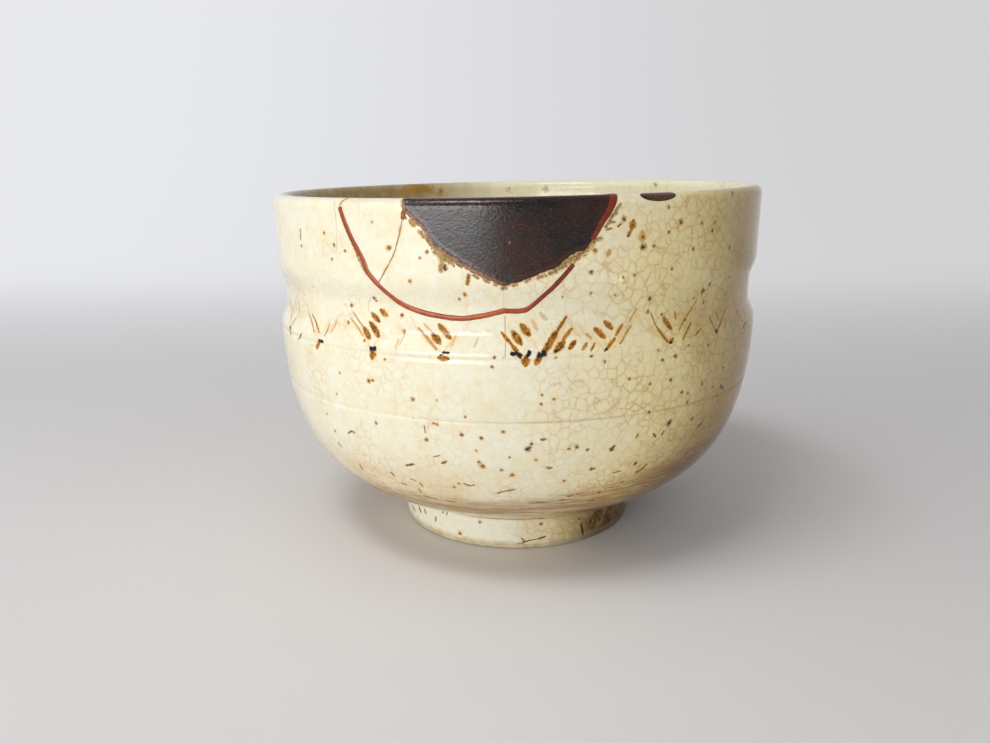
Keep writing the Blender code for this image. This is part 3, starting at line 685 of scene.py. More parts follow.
def side_steps(line):
    """For each point of an open line, the step to its right that keeps a parallel line one unit away."""
    line = np.asarray(line)
    runs = np.diff(line, axis=0)
    lengths = np.linalg.norm(runs, axis=1)[:, None]
    normals = np.stack([runs[:, 1], -runs[:, 0]], axis=1) / lengths
    before = np.vstack([normals[:1], normals])
    after = np.vstack([normals, normals[-1:]])
    return (before + after) / (1 + (before * after).sum(axis=1))[:, None]


def break_line(shares, seed=0, roughness=0.0):
    """A Catmull-Rom curve through a break line's points, with a ragged course between its ends."""
    points = np.array(shares) * (MEND_REACH, MEND_DEPTH)
    ends = np.vstack([points[:1], points, points[-1:]])
    line = []
    for a, b, c, d in zip(ends, ends[1:], ends[2:], ends[3:]):
        bend, twist = 2 * a - 5 * b + 4 * c - d, 3 * b - a - 3 * c + d
        for step in range(LINE_STEPS):
            t = step / LINE_STEPS
            line.append(0.5 * (2 * b + (c - a) * t + bend * t * t + twist * t ** 3))
    line = np.array([*line, points[-1]])
    ways = ways_along(line)
    calm = np.clip(np.minimum(ways, ways[-1] - ways) / 0.001, 0, 1)
    return line + side_steps(line) * (roughness * calm * ripple(ways, seed, 6, 4200))[:, None]


def grown(outline, distance):
    """A closed outline with every side moved outwards by a distance, or inwards if it is negative."""
    ring = np.vstack([outline[-1:], outline, outline[:1]])
    area = (ring[:-1, 0] * ring[1:, 1] - ring[1:, 0] * ring[:-1, 1]).sum()
    outward = distance if area > 0 else -distance
    return outline + outward * side_steps(ring)[1:-1]


def ribbon(line, start_width, end_width, growth=0.0, seed=0):
    """The closed outline of a strip along an open line, with slightly wavy sides."""
    steps = side_steps(line)
    ways = ways_along(line)
    halves = np.linspace(start_width, end_width, len(line)) / 2
    right, left = (halves + 0.05 * halves * ripple(ways, seed + side, 5, 1500) + growth for side in (0, 1))
    return np.vstack([line + right[:, None] * steps, (line - left[:, None] * steps)[::-1]])


def split_at(line, drop):
    """The two stretches of an open line, before and after the first place where it crosses a drop."""
    for index, (start, end) in enumerate(zip(line, line[1:])):
        if min(start[1], end[1]) < drop <= max(start[1], end[1]):
            share = (drop - start[1]) / (end[1] - start[1])
            point = start + (end - start) * share
            return np.vstack([line[: index + 1], point]), np.vstack([point, line[index + 1 :]])
    raise ValueError(f"the line never crosses {drop}")


def above_rim(point):
    return np.array([[point[0], -REACH_UP]])


def mend_lines():
    """Every break line of the mend, and the centre lines of the lacquer laid along them."""
    lines = {
        "seam_left": break_line(SEAM_LEFT),
        "seam_middle": break_line(SEAM_MIDDLE),
        "seam_right": break_line(SEAM_RIGHT),
        "rise": break_line(RISE),
        "fill_left": break_line(FILL_LEFT, 11, 0.00013),
        "fill_right": break_line(FILL_RIGHT, 12, 0.00011),
        "left_crack": break_line(LEFT_CRACK, 13, 0.00005),
        "corner": np.array(FILL_CORNER) * (MEND_REACH, MEND_DEPTH),
    }
    rise = lines["rise"]
    meeting = rise[0][1]
    lower_sides = [lines[key][1:] for key in ("fill_left", "fill_right", "rise")]
    lines["fill_border"] = np.vstack([lines["corner"], *lower_sides])
    left = split_at(lines["seam_left"], SEAM_START_DROP)[1]
    right = split_at(lines["seam_right"], meeting + BARE_BELOW_HEIGHT)[0]
    lines["painted"] = np.vstack([left, lines["seam_middle"][1:], right[1:]])
    painted_rise = split_at(rise, meeting - BARE_ABOVE_HEIGHT)[1]
    over = np.linspace(painted_rise[-1], above_rim(painted_rise[-1])[0], 20)[1:]
    lines["painted_rise"] = np.vstack([painted_rise, over])
    lines["dab"] = split_at(lines["left_crack"], lines["left_crack"][0][1] + DAB_HEIGHT)[0]
    return lines


LINES = mend_lines()

# The breaks through the wall, and the lines beside which the glaze is stained.
BREAKS = ("seam_left", "seam_middle", "seam_right", "rise", "fill_left", "fill_right", "left_crack", "corner")
STAINED_LINES = tuple(key for key in LINES if key not in ("seam_middle", "rise", "fill_border", "dab"))


def mend_outlines():
    """The closed outline of each piece of the mend on the unrolled rim, before any gap is taken off."""
    seam_left, seam_middle, seam_right = (LINES[f"seam_{side}"] for side in ("left", "middle", "right"))
    left_crack, rise, corner = (LINES[key] for key in ("left_crack", "rise", "corner"))
    top_left, top_right, fill_top = map(above_rim, (seam_left[0], rise[-1], corner[0]))
    seam = np.vstack([seam_left, seam_middle[1:], seam_right[1:]])
    return {
        "hole": np.vstack([top_left, seam, rise[1:], top_right]),
        "left_sherd": np.vstack([top_left, seam_left, left_crack[-2::-1], corner[:1], fill_top]),
        "middle_sherd": np.vstack([seam_middle, LINES["fill_left"][::-1], left_crack[1:-1]]),
        "right_sherd": np.vstack([seam_right, LINES["fill_right"][-2::-1]]),
        "dark_fill": np.vstack([fill_top, LINES["fill_border"], top_right]),
    }


OUTLINES = mend_outlines()
SHERDS = ("left_sherd", "middle_sherd", "right_sherd")

# The strips of red lacquer: the line that each follows, both end widths, and the seed of its wavy sides.
STRIPS = {
    "red_seam": ("painted", SEAM_WIDTH, SEAM_END_WIDTH, 21),
    "red_seam_upper": ("painted_rise", UPPER_SEAM_FOOT_WIDTH, UPPER_SEAM_RIM_WIDTH, 31),
    "red_dab": ("dab", DAB_WIDTH, DAB_WIDTH, 41),
}


def strip_shape(name, growth=0.0):
    line, start_width, end_width, seed = STRIPS[name]
    return ribbon(LINES[line], start_width, end_width, growth, seed)


def line_gap(points, line):
    """For each point, its distance to an open line of points, and how far along the line that is."""
    best = np.full(len(points), np.inf)
    along = np.zeros(len(points))
    for index, (start, end) in enumerate(zip(line, line[1:])):
        run = end - start
        share = np.clip(((points - start) @ run) / max(run @ run, 1e-18), 0, 1)
        gap = np.linalg.norm(points - start - share[:, None] * run, axis=1)
        nearer = gap < best
        best[nearer] = gap[nearer]
        along[nearer] = (index + share[nearer]) / (len(line) - 1)
    return best, along


class Lattice:
    """Wanted cell sizes over a turned section: rows along its way, columns round the axis."""

    def __init__(self, section):
        self.section = section
        self.cells = 2 ** FINEST_LEVEL
        self.columns = ROOT_CELLS * self.cells
        root = 2 * math.pi * RIM_RADIUS / ROOT_CELLS
        self.rows = max(1, round(section.length / root)) * self.cells
        self.levels = np.full((self.rows, self.columns), PLAIN_LEVEL, np.int8)
        self.marked = np.zeros((self.rows, self.columns), bool)

    def row(self, way):
        return np.clip((np.asarray(way) / self.section.length * self.rows).astype(int), 0, self.rows - 1)

    def column(self, azimuth):
        turn = (np.asarray(azimuth) + math.pi) / (2 * math.pi)
        return (turn * self.columns).astype(int) % self.columns

    def mark(self, azimuths, ways):
        self.marked[self.row(ways), self.column(azimuths)] = True

    def band(self, start_way, end_way, level, reach=math.pi):
        """A ring of even cells, all the way round or as far as the reach to both sides of the front."""
        rows = slice(int(self.row(start_way)), int(self.row(end_way)) + 1)
        half = int(reach / math.pi * self.columns / 2)
        columns = slice(self.columns // 2 - half, self.columns // 2 + half)
        self.levels[rows, columns] = np.maximum(self.levels[rows, columns], level)

    def spread(self, mask, reach):
        wide = mask.copy()
        for step in range(1, reach + 1):
            wide |= np.roll(mask, step, axis=1) | np.roll(mask, -step, axis=1)
        tall = wide.copy()
        for step in range(1, reach + 1):
            tall[step:] |= wide[:-step]
            tall[:-step] |= wide[step:]
        return tall

    def settle(self, reaches=FULL_REACHES):
        """Turns the marks into cells: the finest at the mark, and larger ones step by step away from it."""
        mask = self.marked
        for level, reach in reaches:
            mask = self.spread(mask, reach)
            self.levels[mask] = np.maximum(self.levels[mask], level)
        self.marked = np.zeros_like(self.marked)


def cell_edge(size):
    """Steps of row and column round a square cell, so that its face looks out of the clay."""
    forward = np.arange(size)
    level = np.zeros(size, int)
    rows = np.concatenate([forward, level + size, size - forward, level])
    columns = np.concatenate([level, forward, level + size, size - forward])
    return rows, columns


def leaves_of(lattice):
    """The cells that aren't halved further, by their size, and which lattice points are their corners."""
    rows, columns = lattice.rows, lattice.columns
    used = np.zeros((rows + 1, columns), bool)
    block = 2 ** (FINEST_LEVEL - PLAIN_LEVEL)
    active = np.ones((rows // block, columns // block), bool)
    leaves = []
    for level in range(PLAIN_LEVEL, FINEST_LEVEL + 1):
        block = 2 ** (FINEST_LEVEL - level)
        peaks = lattice.levels.reshape(rows // block, block, columns // block, block).max(axis=(1, 3))
        parted = active & (peaks > level)
        leaf_rows, leaf_columns = np.nonzero(active & ~parted)
        leaves.append((block, leaf_rows * block, leaf_columns * block))
        for down, across in itertools.product((0, block), (0, block)):
            used[leaf_rows * block + down, (leaf_columns * block + across) % columns] = True
        active = np.repeat(np.repeat(parted, 2, axis=0), 2, axis=1)
    return leaves, used


def numbered(used, closed):
    """Numbers the used points. The two ends of the way meet in one ring, or each is one point on the axis."""
    if closed:
        used[0] |= used[-1]
        used[-1] = False
    else:
        used[[0, -1]] = False
        used[[0, -1], 0] = True
    rows, columns = np.nonzero(used)
    index = np.zeros(used.shape, np.int32)
    index[rows, columns] = np.arange(len(rows))
    if closed:
        used[-1] = used[0]
        index[-1] = index[0]
    else:
        used[[0, -1]] = True
        index[0] = index[0, 0]
        index[-1] = index[-1, 0]
    return rows, columns, index


def faces_of(lattice, leaves, used, index):
    """The corners of all faces in a row, and how many of them each face has."""
    corners, counts = [], []
    for block, leaf_rows, leaf_columns in leaves:
        edge_rows, edge_columns = cell_edge(block)
        ring_rows = leaf_rows[:, None] + edge_rows
        ring_columns = (leaf_columns[:, None] + edge_columns) % lattice.columns
        present = used[ring_rows, ring_columns]
        if not lattice.section.closed:
            present &= ~((ring_rows == 0) & (edge_columns > 0))
            present &= ~((ring_rows == lattice.rows) & (edge_columns < block))
        corners.append(index[ring_rows, ring_columns][present])
        counts.append(present.sum(axis=1))
    return np.concatenate(corners), np.concatenate(counts)


def skin(name, lattice, offset):
    """A closed mesh of the section turned round the axis, with cells as the lattice wants them."""
    section = lattice.section
    leaves, used = leaves_of(lattice)
    point_rows, point_columns, index = numbered(used, section.closed)
    corners, counts = faces_of(lattice, leaves, used, index)
    way = point_rows / lattice.rows * section.length
    azimuth = point_columns / lattice.columns * 2 * math.pi - math.pi
    shift = offset(azimuth, way)
    radius = section.at(section.radius, way) + shift * section.at(section.out_radius, way)
    height = section.at(section.height, way) + shift * section.at(section.out_height, way)
    places = np.stack([radius * np.sin(azimuth), -radius * np.cos(azimuth), height], axis=1)
    starts = np.concatenate([[0], np.cumsum(counts)[:-1]])
    mesh = bpy.data.meshes.new(name)
    mesh.vertices.add(len(places))
    mesh.vertices.foreach_set("co", places.astype(np.float32).ravel())
    mesh.loops.add(len(corners))
    mesh.loops.foreach_set("vertex_index", corners.astype(np.int32))
    mesh.polygons.add(len(counts))
    mesh.polygons.foreach_set("loop_start", starts.astype(np.int32))
    mesh.update(calc_edges=True)
    mesh.validate()
    return mesh


def wedge(name, outline):
    """A closed outline on the unrolled rim, wrapped round the axis and carried through the wall."""
    mesh = bmesh.new()
    inner_radius = BELLY_RADIUS - WALL_THICKNESS - CUTTER_CLEARANCE
    clear_radius = RIM_RADIUS + CUTTER_CLEARANCE
    rings = []
    for radius in (inner_radius, clear_radius, clear_radius * CUTTER_SPREAD):
        places = [turned(radius, across / RIM_RADIUS, BOWL_HEIGHT - down) for across, down in outline]
        rings.append([mesh.verts.new(place) for place in places])
    for inner, outer in zip(rings, rings[1:]):
        for i in range(len(outline)):
            j = (i + 1) % len(outline)
            if tuple(outline[i]) < tuple(outline[j]):
                mesh.faces.new((inner[i], inner[j], outer[j]))
                mesh.faces.new((inner[i], outer[j], outer[i]))
            else:
                mesh.faces.new((inner[i], inner[j], outer[i]))
                mesh.faces.new((inner[j], outer[j], outer[i]))
    ends = [mesh.faces.new(rings[0]), mesh.faces.new(rings[-1])]
    bmesh.ops.triangulate(mesh, faces=ends)
    bmesh.ops.recalc_face_normals(mesh, faces=mesh.faces[:])
    return guide_from(name, mesh)


def chip_scoop(name, shrink):
    """The ellipsoid that the chip took out of the rim's outer edge, less a shrink all round."""
    mesh = bmesh.new()
    bmesh.ops.create_uvsphere(mesh, u_segments=64, v_segments=32, radius=1.0)
    halves = (CHIP_HALF_LENGTH - shrink, CHIP_HALF_DEPTH - shrink, CHIP_HALF_HEIGHT - shrink)
    bmesh.ops.scale(mesh, vec=halves, verts=mesh.verts)
    angle = CHIP_OFFSET / RIM_RADIUS
    move = Matrix.Translation(turned(RIM_RADIUS, angle, BOWL_HEIGHT)) @ Matrix.Rotation(angle, 4, "Z")
    bmesh.ops.transform(mesh, matrix=move, verts=mesh.verts)
    return guide_from(name, mesh)


def guide_from(name, built):
    mesh = bpy.data.meshes.new(name)
    built.to_mesh(mesh)
    built.free()
    return linked(name, mesh)


def cut_mesh(mesh, cuts):
    """The mesh after a row of Boolean cuts, each an operation and a cutter."""
    block = linked("block", mesh)
    for operation, cutter in cuts:
        boolean = block.modifiers.new(operation, "BOOLEAN")
        boolean.operation = operation
        boolean.solver = "MANIFOLD"
        boolean.object = cutter
    shaped = bpy.data.meshes.new_from_object(block.evaluated_get(bpy.context.evaluated_depsgraph_get()))
    bpy.data.objects.remove(block)
    return shaped


def points_of(mesh):
    places = np.empty(len(mesh.vertices) * 3, np.float32)
    mesh.vertices.foreach_get("co", places)
    return places.reshape(-1, 3).astype(float)


def azimuth_of(places):
    return np.arctan2(places[:, 0], -places[:, 1])


def add_fields(mesh, fields):
    """Writes a value for every point of the mesh, under each field's name."""
    for name, values in fields.items():
        field = mesh.attributes.new(name, "FLOAT", "POINT")
        field.data.foreach_set("value", np.ascontiguousarray(values, np.float32))


class Stroke:
    """A mark on the wall: its ends as azimuth and way, its widths in metres, its tone and its leaf shape."""

    def __init__(self, start, end, start_width, end_width, tone, leaf=0.0):
        self.start, self.end = np.array(start), np.array(end)
        self.start_width, self.end_width = start_width, end_width
        self.tone, self.leaf = tone, leaf
        self.radius = max(0.002, float(BOWL.at(BOWL.radius, (start[1] + end[1]) / 2)))
        self.run = np.array([(self.end[0] - self.start[0]) * self.radius, self.end[1] - self.start[1]])

    def window(self):
        """The middle of the mark's azimuths, and how far from it the mark reaches with its rim."""
        half = abs(self.end[0] - self.start[0]) / 2
        rim = max(self.start_width, self.end_width) / self.radius * 1.1
        return (self.start[0] + self.end[0]) / 2, half + rim

    def trail(self):
        """Points along the stroke, for the lattice."""
        shares = np.linspace(0, 1, max(2, int(math.hypot(*self.run) / MARK_STEP)))
        place = self.start + shares[:, None] * (self.end - self.start)
        return place[:, 0], place[:, 1]

    def gap(self, azimuth, way):
        """The distance to the stroke's middle line over its half width, for points given as arrays."""
        across, down = wrapped(azimuth - self.start[0]) * self.radius, way - self.start[1]
        run = self.run
        share = np.clip((across * run[0] + down * run[1]) / max(run @ run, 1e-12), 0, 1)
        gap = np.hypot(across - share * run[0], down - share * run[1])
        swell = 1 - self.leaf + self.leaf * (0.35 + 0.65 * np.sqrt(np.sin(math.pi * share)))
        return gap / (self.start_width + (self.end_width - self.start_width) * share) / swell * 2


def photo_scale(way, azimuth):
    """Metres that one pixel of the photograph spans at a place of the outer wall."""
    place = turned(float(BOWL.at(BOWL.radius, way)), azimuth, float(BOWL.at(BOWL.height, way)))
    return (place - CAMERA_PLACE).dot(camera_axes()[2]) / FOCAL_PIXELS


def from_photo(x0, y0, x1, y1, width, tone, leaf=0.0):
    start, end = seen(x0, y0), seen(x1, y1)
    broad = width * photo_scale(start[1], start[0])
    return Stroke(start, end, broad, broad, tone, leaf)


def motif(draw, tip):
    """The strokes and blots of one motif that the photograph doesn't show, drawn like those that it does."""
    tip += draw.uniform(-0.012, 0.012)
    tip_way = float(outer_way(MOTIF_TIP_HEIGHT + draw.uniform(-0.0004, 0.0004)))
    strokes, blots = [], []

    def place(across, up):
        return tip + across / WAIST_RADIUS, tip_way - up

    load = draw.uniform(-0.2, 1.0)
    slant = draw.uniform(0.40, 0.62)
    for leaf in range(draw.randint(3, 5)):
        low = (-0.0024 + 0.0019 * leaf + draw.uniform(-0.0002, 0.0002), 0.0022 + 0.0013 * leaf)
        length = draw.uniform(0.0018, 0.0026)
        high = (low[0] - length * slant, low[1] + length)
        width = draw.uniform(0.0006, 0.0010)
        tone = load - 0.25 * leaf + draw.uniform(-0.1, 0.1)
        strokes.append(Stroke(place(*high), place(*low), width * 0.8, width, tone, 0.8))
    for line in range(draw.randint(1, 3)):
        offset = 0.0007 * line
        high, low = place(-0.0042 - offset, 0.0068 - offset), place(-0.0006 - offset, 0.0008)
        strokes.append(Stroke(high, low, 0.0003, 0.0004, load - 0.4))
    for line in range(draw.randint(1, 4)):
        foot = 0.0008 + 0.0016 * line
        tall = draw.uniform(0.0030, 0.0072) - 0.0009 * line
        width = draw.uniform(0.0003, 0.0009)
        high, low = place(foot + tall * 0.55, 0.0006 + tall), place(foot, 0.0006)
        strokes.append(Stroke(high, low, width * 0.5, width, load - 0.2 * line, 0.6))
    if draw.random() < 0.75:
        blots.append(Stroke(place(-0.0005, 0.0002), place(0.0005, 0.0), 0.0006, 0.0006, 1.0))
        drip = place(draw.uniform(-0.0005, 0.0003), -0.0015)
        strokes.append(Stroke(place(0.0, -0.0002), drip, 0.0010, 0.0008, 0.3))
    return strokes, blots


def faint_frieze():
    """Thin washes of the same brush, slanting both ways above every tip of the frieze."""
    draw = random.Random(19)
    tip_way = float(outer_way(MOTIF_TIP_HEIGHT))
    strokes = []
    for tip, side, step in itertools.product((*SEEN_TIPS, *HIDDEN_TIPS), (-1, 1), range(6)):
        foot = side * (0.0004 + 0.0011 * step) + draw.uniform(-0.0003, 0.0003)
        low = 0.0004 + 0.0007 * step + draw.uniform(-0.0004, 0.0006)
        tall = draw.uniform(0.0016, 0.0050)
        width = draw.uniform(0.0004, 0.0009)
        start = (tip + foot / WAIST_RADIUS, tip_way - low)
        end = (tip + (foot + side * tall * 0.6) / WAIST_RADIUS, tip_way - low - tall)
        strokes.append(Stroke(start, end, width, width * 0.6, draw.uniform(0.2, 1.0), 0.7))
    return strokes


def visible_outside(azimuth, way):
    """True where the photograph already says which specks there are."""
    return math.cos(azimuth) > 0.25 and way < FOOT_TOP_WAY + 0.006


def scattered_specks(count, low_way, high_way, seed, skip):
    """Small iron specks strewn over a ring of the wall, more of them where the wall is low."""
    draw = random.Random(seed)
    specks = []
    while len(specks) < count:
        azimuth = draw.uniform(-math.pi, math.pi)
        way = low_way + (high_way - low_way) * draw.random()
        radius = float(BOWL.at(BOWL.radius, way))
        if draw.random() > radius / RIM_RADIUS or skip(azimuth, way):
            continue
        size = SPECK_SIZE * draw.lognormvariate(0, 0.35)
        long = draw.uniform(0, SPECK_LENGTH)
        angle = draw.uniform(0, math.pi)
        end = (azimuth + long * math.cos(angle) / radius, way + 0.6 * long * math.sin(angle))
        specks.append(Stroke((azimuth, way), end, size, size, draw.uniform(0.2, 0.9)))
    return specks


def all_marks():
    """Every painted or burnt mark of the wall, by the field that it goes into."""
    strokes = [from_photo(*row[:4], row[4] * STROKE_SWELL, row[5], 0.7) for row in STROKES]
    blots = [from_photo(*row[:4], row[4] * BLOT_SWELL, 1.0, 0.3) for row in BLOTS]
    draw = random.Random(7)
    for tip in HIDDEN_TIPS:
        hidden_strokes, hidden_blots = motif(draw, tip)
        strokes += hidden_strokes
        blots += hidden_blots
    specks = [from_photo(x, y, x, y, radius * SPECK_SWELL, tone) for x, y, radius, tone in SPECKS]
    specks += [from_photo(*row[:4], row[4] * MARK_SWELL, row[5], 0.5) for row in MARKS]
    specks += scattered_specks(HIDDEN_SPECKS, LIP_WAY + 0.001, FOOT_TOP_WAY, 3, visible_outside)
    specks += scattered_specks(INNER_SPECKS, 0.004, LIP_WAY - 0.002, 5, lambda azimuth, way: False)
    cracks = []
    for points, width, tone in HAIRLINES:
        cracks += [from_photo(*start, *end, width, tone) for start, end in zip(points, points[1:])]
    stains = []
    for x, y, half_width, size, tone in INNER_STAINS:
        ends = (seen_inside(x + side * half_width, y) for side in (-1, 1))
        stains.append(Stroke(*ends, size, size, tone))
    return {
        "stroke": strokes,
        "faint": faint_frieze(),
        "blot": blots,
        "speck": specks,
        "scar": [from_photo(*row[:4], row[4] * SCAR_SWELL, 0.5) for row in SCARS],
        "hairline": cracks,
        "stain": stains,
    }


MARKS_BY_FIELD = all_marks()


def coverage(azimuth, way, marks):
    """How far inside a mark each point is, 1 on a middle line and 0.5 at an edge, and the mark's tone."""
    cover = np.zeros(len(azimuth))
    tone = np.zeros(len(azimuth))
    order = np.argsort(azimuth)
    ordered = azimuth[order]
    for mark in marks:
        middle, reach = mark.window()
        for turn in (-2 * math.pi, 0.0, 2 * math.pi):
            start, end = np.searchsorted(ordered, (middle + turn - reach, middle + turn + reach))
            near = order[start:end]
            inside = np.clip(1 - mark.gap(azimuth[near], way[near]) / 2, 0, 1)
            nearer = inside > cover[near]
            cover[near[nearer]] = inside[nearer]
            tone[near[nearer]] = mark.tone
    return cover, tone


def on_rim(azimuth, height):
    """Points as places on the unrolled rim."""
    return np.stack([wrapped(np.asarray(azimuth)) * RIM_RADIUS, BOWL_HEIGHT - np.asarray(height)], axis=1)


def way_near(section, height, outside):
    """The way of the outer or inner wall of any section at a height."""
    top = section.way[section.height.argmax()]
    side = section.way >= top if outside else section.way <= top
    side &= section.height > BOWL_HEIGHT - SHOULDER_DROP - 0.0001
    order = np.argsort(section.height[side])
    return np.interp(height, section.height[side][order], section.way[side][order])


def mark_line(lattice, line):
    """Marks a line of the unrolled rim on both sides of the wall, and over the lip where it meets the rim."""
    ways = ways_along(line)
    fine = np.linspace(0, ways[-1], int(ways[-1] / MARK_STEP) + 2)
    across, down = (np.interp(fine, ways, line[:, axis]) for axis in (0, 1))
    kept = down > 0
    for outside in (True, False):
        lattice.mark(across[kept] / RIM_RADIUS, way_near(lattice.section, BOWL_HEIGHT - down[kept], outside))
    if down.min() <= LIP_MARGIN:
        ends = (way_near(lattice.section, BOWL_HEIGHT - LIP_DEPTH, outside) for outside in (False, True))
        over = np.linspace(*ends, LIP_STEPS)
        lattice.mark(np.full(LIP_STEPS, across[down.argmin()] / RIM_RADIUS), over)


def thrown(azimuth, way):
    """The slight unevenness of a hand-thrown wall, always inwards."""
    wave = 0.5 + 0.25 * np.sin(way * 1150 + 1.2 * np.sin(azimuth)) + 0.25 * np.sin(3 * azimuth + way * 160)
    calm = np.clip(BOWL.at(BOWL.height, way) / 0.004 - 0.3, 0, 1)
    return -THROWING_DEPTH * wave * calm


def spot_gap(azimuth, level, spot):
    """The distance to a spot, where levels are ways or heights in metres."""
    return np.hypot((azimuth - spot[0]) * RIM_RADIUS, level - spot[1])


def glaze_offset(azimuth, way):
    """All the relief of the ceramic: throwing, chips beside the fill, a bump, and rounded breaks."""
    shift = thrown(azimuth, way)
    scar = coverage(azimuth, way, MARKS_BY_FIELD["scar"])[0]
    grain = 0.6 + 0.4 * np.sin(azimuth * 700) * np.sin(way * 9000)
    shift -= SCAR_DEPTH * np.clip(scar * 2 - 0.7, 0, 1) * grain
    shift -= BLOT_DEPTH * coverage(azimuth, way, MARKS_BY_FIELD["blot"])[0]
    shift += BUMP_HEIGHT * np.exp(-((spot_gap(azimuth, way, BUMP_SEEN) / BUMP_REACH) ** 2))
    outer = np.flatnonzero((way > LIP_WAY) & (np.abs(azimuth) < MEND_AZIMUTH))
    spots = on_rim(azimuth[outer], BOWL.at(BOWL.height, way[outer]))
    for line in ("left_crack", "fill_left", "fill_right", "seam_right", "rise"):
        shift[outer] -= EDGE_DEPTH * faded(line_gap(spots, LINES[line])[0], EDGE_REACH) ** 2
    return shift


def strip_offset(name):
    """Lacquer crowned across its width, down to the glaze at its sides."""
    line, start_width, end_width, seed = STRIPS[name]

    def offset(azimuth, way):
        spots = on_rim(azimuth, STRIP_SECTION.at(STRIP_SECTION.height, way))
        gap, along = line_gap(spots, LINES[line])
        half = (start_width + (end_width - start_width) * along) / 2
        share = np.clip(gap / half, 0, 1.2)
        crown = -(SEAM_PROUD - 0.00001) * share ** 2.4
        return crown + 0.00002 * (ripple(along * 60, seed, 5, 1.0) - 1) * (1 - share.clip(0, 1))

    return offset


def fill_offset(azimuth, way):
    """Lacquer that rolls off at its border, with a shallow pit and faint ridges of the brush."""
    spots = on_rim(azimuth, FILL_SECTION.at(FILL_SECTION.height, way))
    gap = line_gap(spots, LINES["fill_border"])[0]
    shift = -ROLL_DEPTH * faded(gap, ROLL_REACH) ** 2
    shift += SWELL_HEIGHT * np.exp(-(((gap - SWELL_INSET) / SWELL_REACH) ** 2))
    shift -= 0.00002 * (1 + np.sin(azimuth * 9 + 1.0) * np.sin(way * 420))
    return shift - PIT_DEPTH * np.exp(-((spot_gap(azimuth, way, FILL_PIT) / PIT_REACH) ** 2))


STRIP_SECTION = Section(strip_outline(), closed=True)
FILL_SECTION = Section(fill_outline(), closed=True)
BASE_WAY = outer_way(0.0)
BUMP_SEEN, PIT_SEEN, DROP_SEEN = (seen(*pixel) for pixel in (BUMP_PIXEL, PIT_PIXEL, DROP_PIXEL))
FILL_PIT = (PIT_SEEN[0], float(way_near(FILL_SECTION, BOWL.at(BOWL.height, PIT_SEEN[1]), True)))


def glaze_lattice():
    """Small cells round the marks, breaks and edges of the glaze, smallest where the photograph sees it."""
    lattice = Lattice(BOWL)
    turn = np.linspace(0, 2 * math.pi, 24, endpoint=False)
    for reach in (0.4 * BUMP_REACH, 1.2 * BUMP_REACH):
        lattice.mark(BUMP_SEEN[0] + reach * np.cos(turn) / RIM_RADIUS, BUMP_SEEN[1] + reach * np.sin(turn))
    fields = ("stroke", "blot", "speck", "scar", "hairline")
    marks = [mark for field in fields for mark in MARKS_BY_FIELD[field]]
    in_sight = [mark for mark in marks if abs(mark.start[0]) < SEEN_AZIMUTH and mark.start[1] > LIP_WAY]
    out_of_sight = [mark for mark in marks if mark not in in_sight]
    for group, reaches in ((in_sight, SEEN_REACHES), (out_of_sight, HIDDEN_REACHES)):
        for mark in group:
            lattice.mark(*mark.trail())
        lattice.settle(reaches)
    for line in BREAKS:
        mark_line(lattice, LINES[line])
    lattice.settle(BREAK_REACHES)
    lattice.band(LIP_WAY - 0.0034, LIP_WAY + 0.0024, 5)
    lattice.band(BASE_WAY - 0.001, BASE_WAY + FOOT_WIDTH + 0.001, 4)
    lattice.band(FOOT_TOP_WAY - 0.0010, FOOT_TOP_WAY + 0.0010, 5)
    for drop in (SHOULDER_LINE_DROP, BELLY_LINE_DROP):
        middle = outer_way(BOWL_HEIGHT - drop)
        lattice.band(middle - 0.0006, middle + 0.0006, 5)
        lattice.band(middle - 0.0005, middle + 0.0005, 6, SEEN_AZIMUTH)
    for drop in (BAND_HEIGHT, WAIST_TOP_DROP, WAIST_BASE_DROP):
        middle = outer_way(BOWL_HEIGHT - drop)
        lattice.band(middle - 0.001, middle + 0.001, 4)
    return lattice


def strip_lattice(name):
    """Small cells all over a strip of lacquer."""
    lattice = Lattice(STRIP_SECTION)
    line, start_width, end_width, _ = STRIPS[name]
    steps = side_steps(LINES[line]) * np.linspace(start_width, end_width, len(LINES[line]))[:, None]
    for share in np.linspace(-0.5, 0.5, 7):
        mark_line(lattice, LINES[line] + share * steps)
    lattice.settle()
    return lattice


def fill_lattice():
    """Small cells all over the dark fill, smallest along its border and at the level of its pit."""
    lattice = Lattice(FILL_SECTION)
    for line in ("corner", "fill_left", "fill_right", "rise"):
        mark_line(lattice, LINES[line])
    lattice.mark(np.linspace(-0.012, 0.012, 40) + FILL_PIT[0], np.full(40, FILL_PIT[1]))
    lattice.settle()
    lowest = [way_near(FILL_SECTION, BOWL_HEIGHT - MEND_DEPTH, outside) for outside in (False, True)]
    first_row, last_row = lattice.row(np.array(lowest))
    azimuths = np.linspace(LINES["corner"][0][0], LINES["rise"][-1][0], 600) / RIM_RADIUS
    columns = lattice.column(azimuths)
    window = lattice.levels[first_row:last_row, columns.min() : columns.max()]
    np.maximum(window, 5, out=window)
    return lattice


def dress(name, mesh, node, material):
    """Makes the mesh the visible piece of a node: leaning like the rim, smooth, and riding on the body."""
    places = lean(points_of(mesh))
    mesh.vertices.foreach_set("co", places.astype(np.float32).ravel())
    mesh.materials.clear()
    mesh.materials.append(material)
    mesh.polygons.foreach_set("material_index", np.zeros(len(mesh.polygons), np.int32))
    mesh.shade_smooth()
    mesh.set_sharp_from_angle(angle=SHARP_ANGLE)
    mesh.update()
    piece = linked(name, mesh)
    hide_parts(node)
    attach(piece, "root")


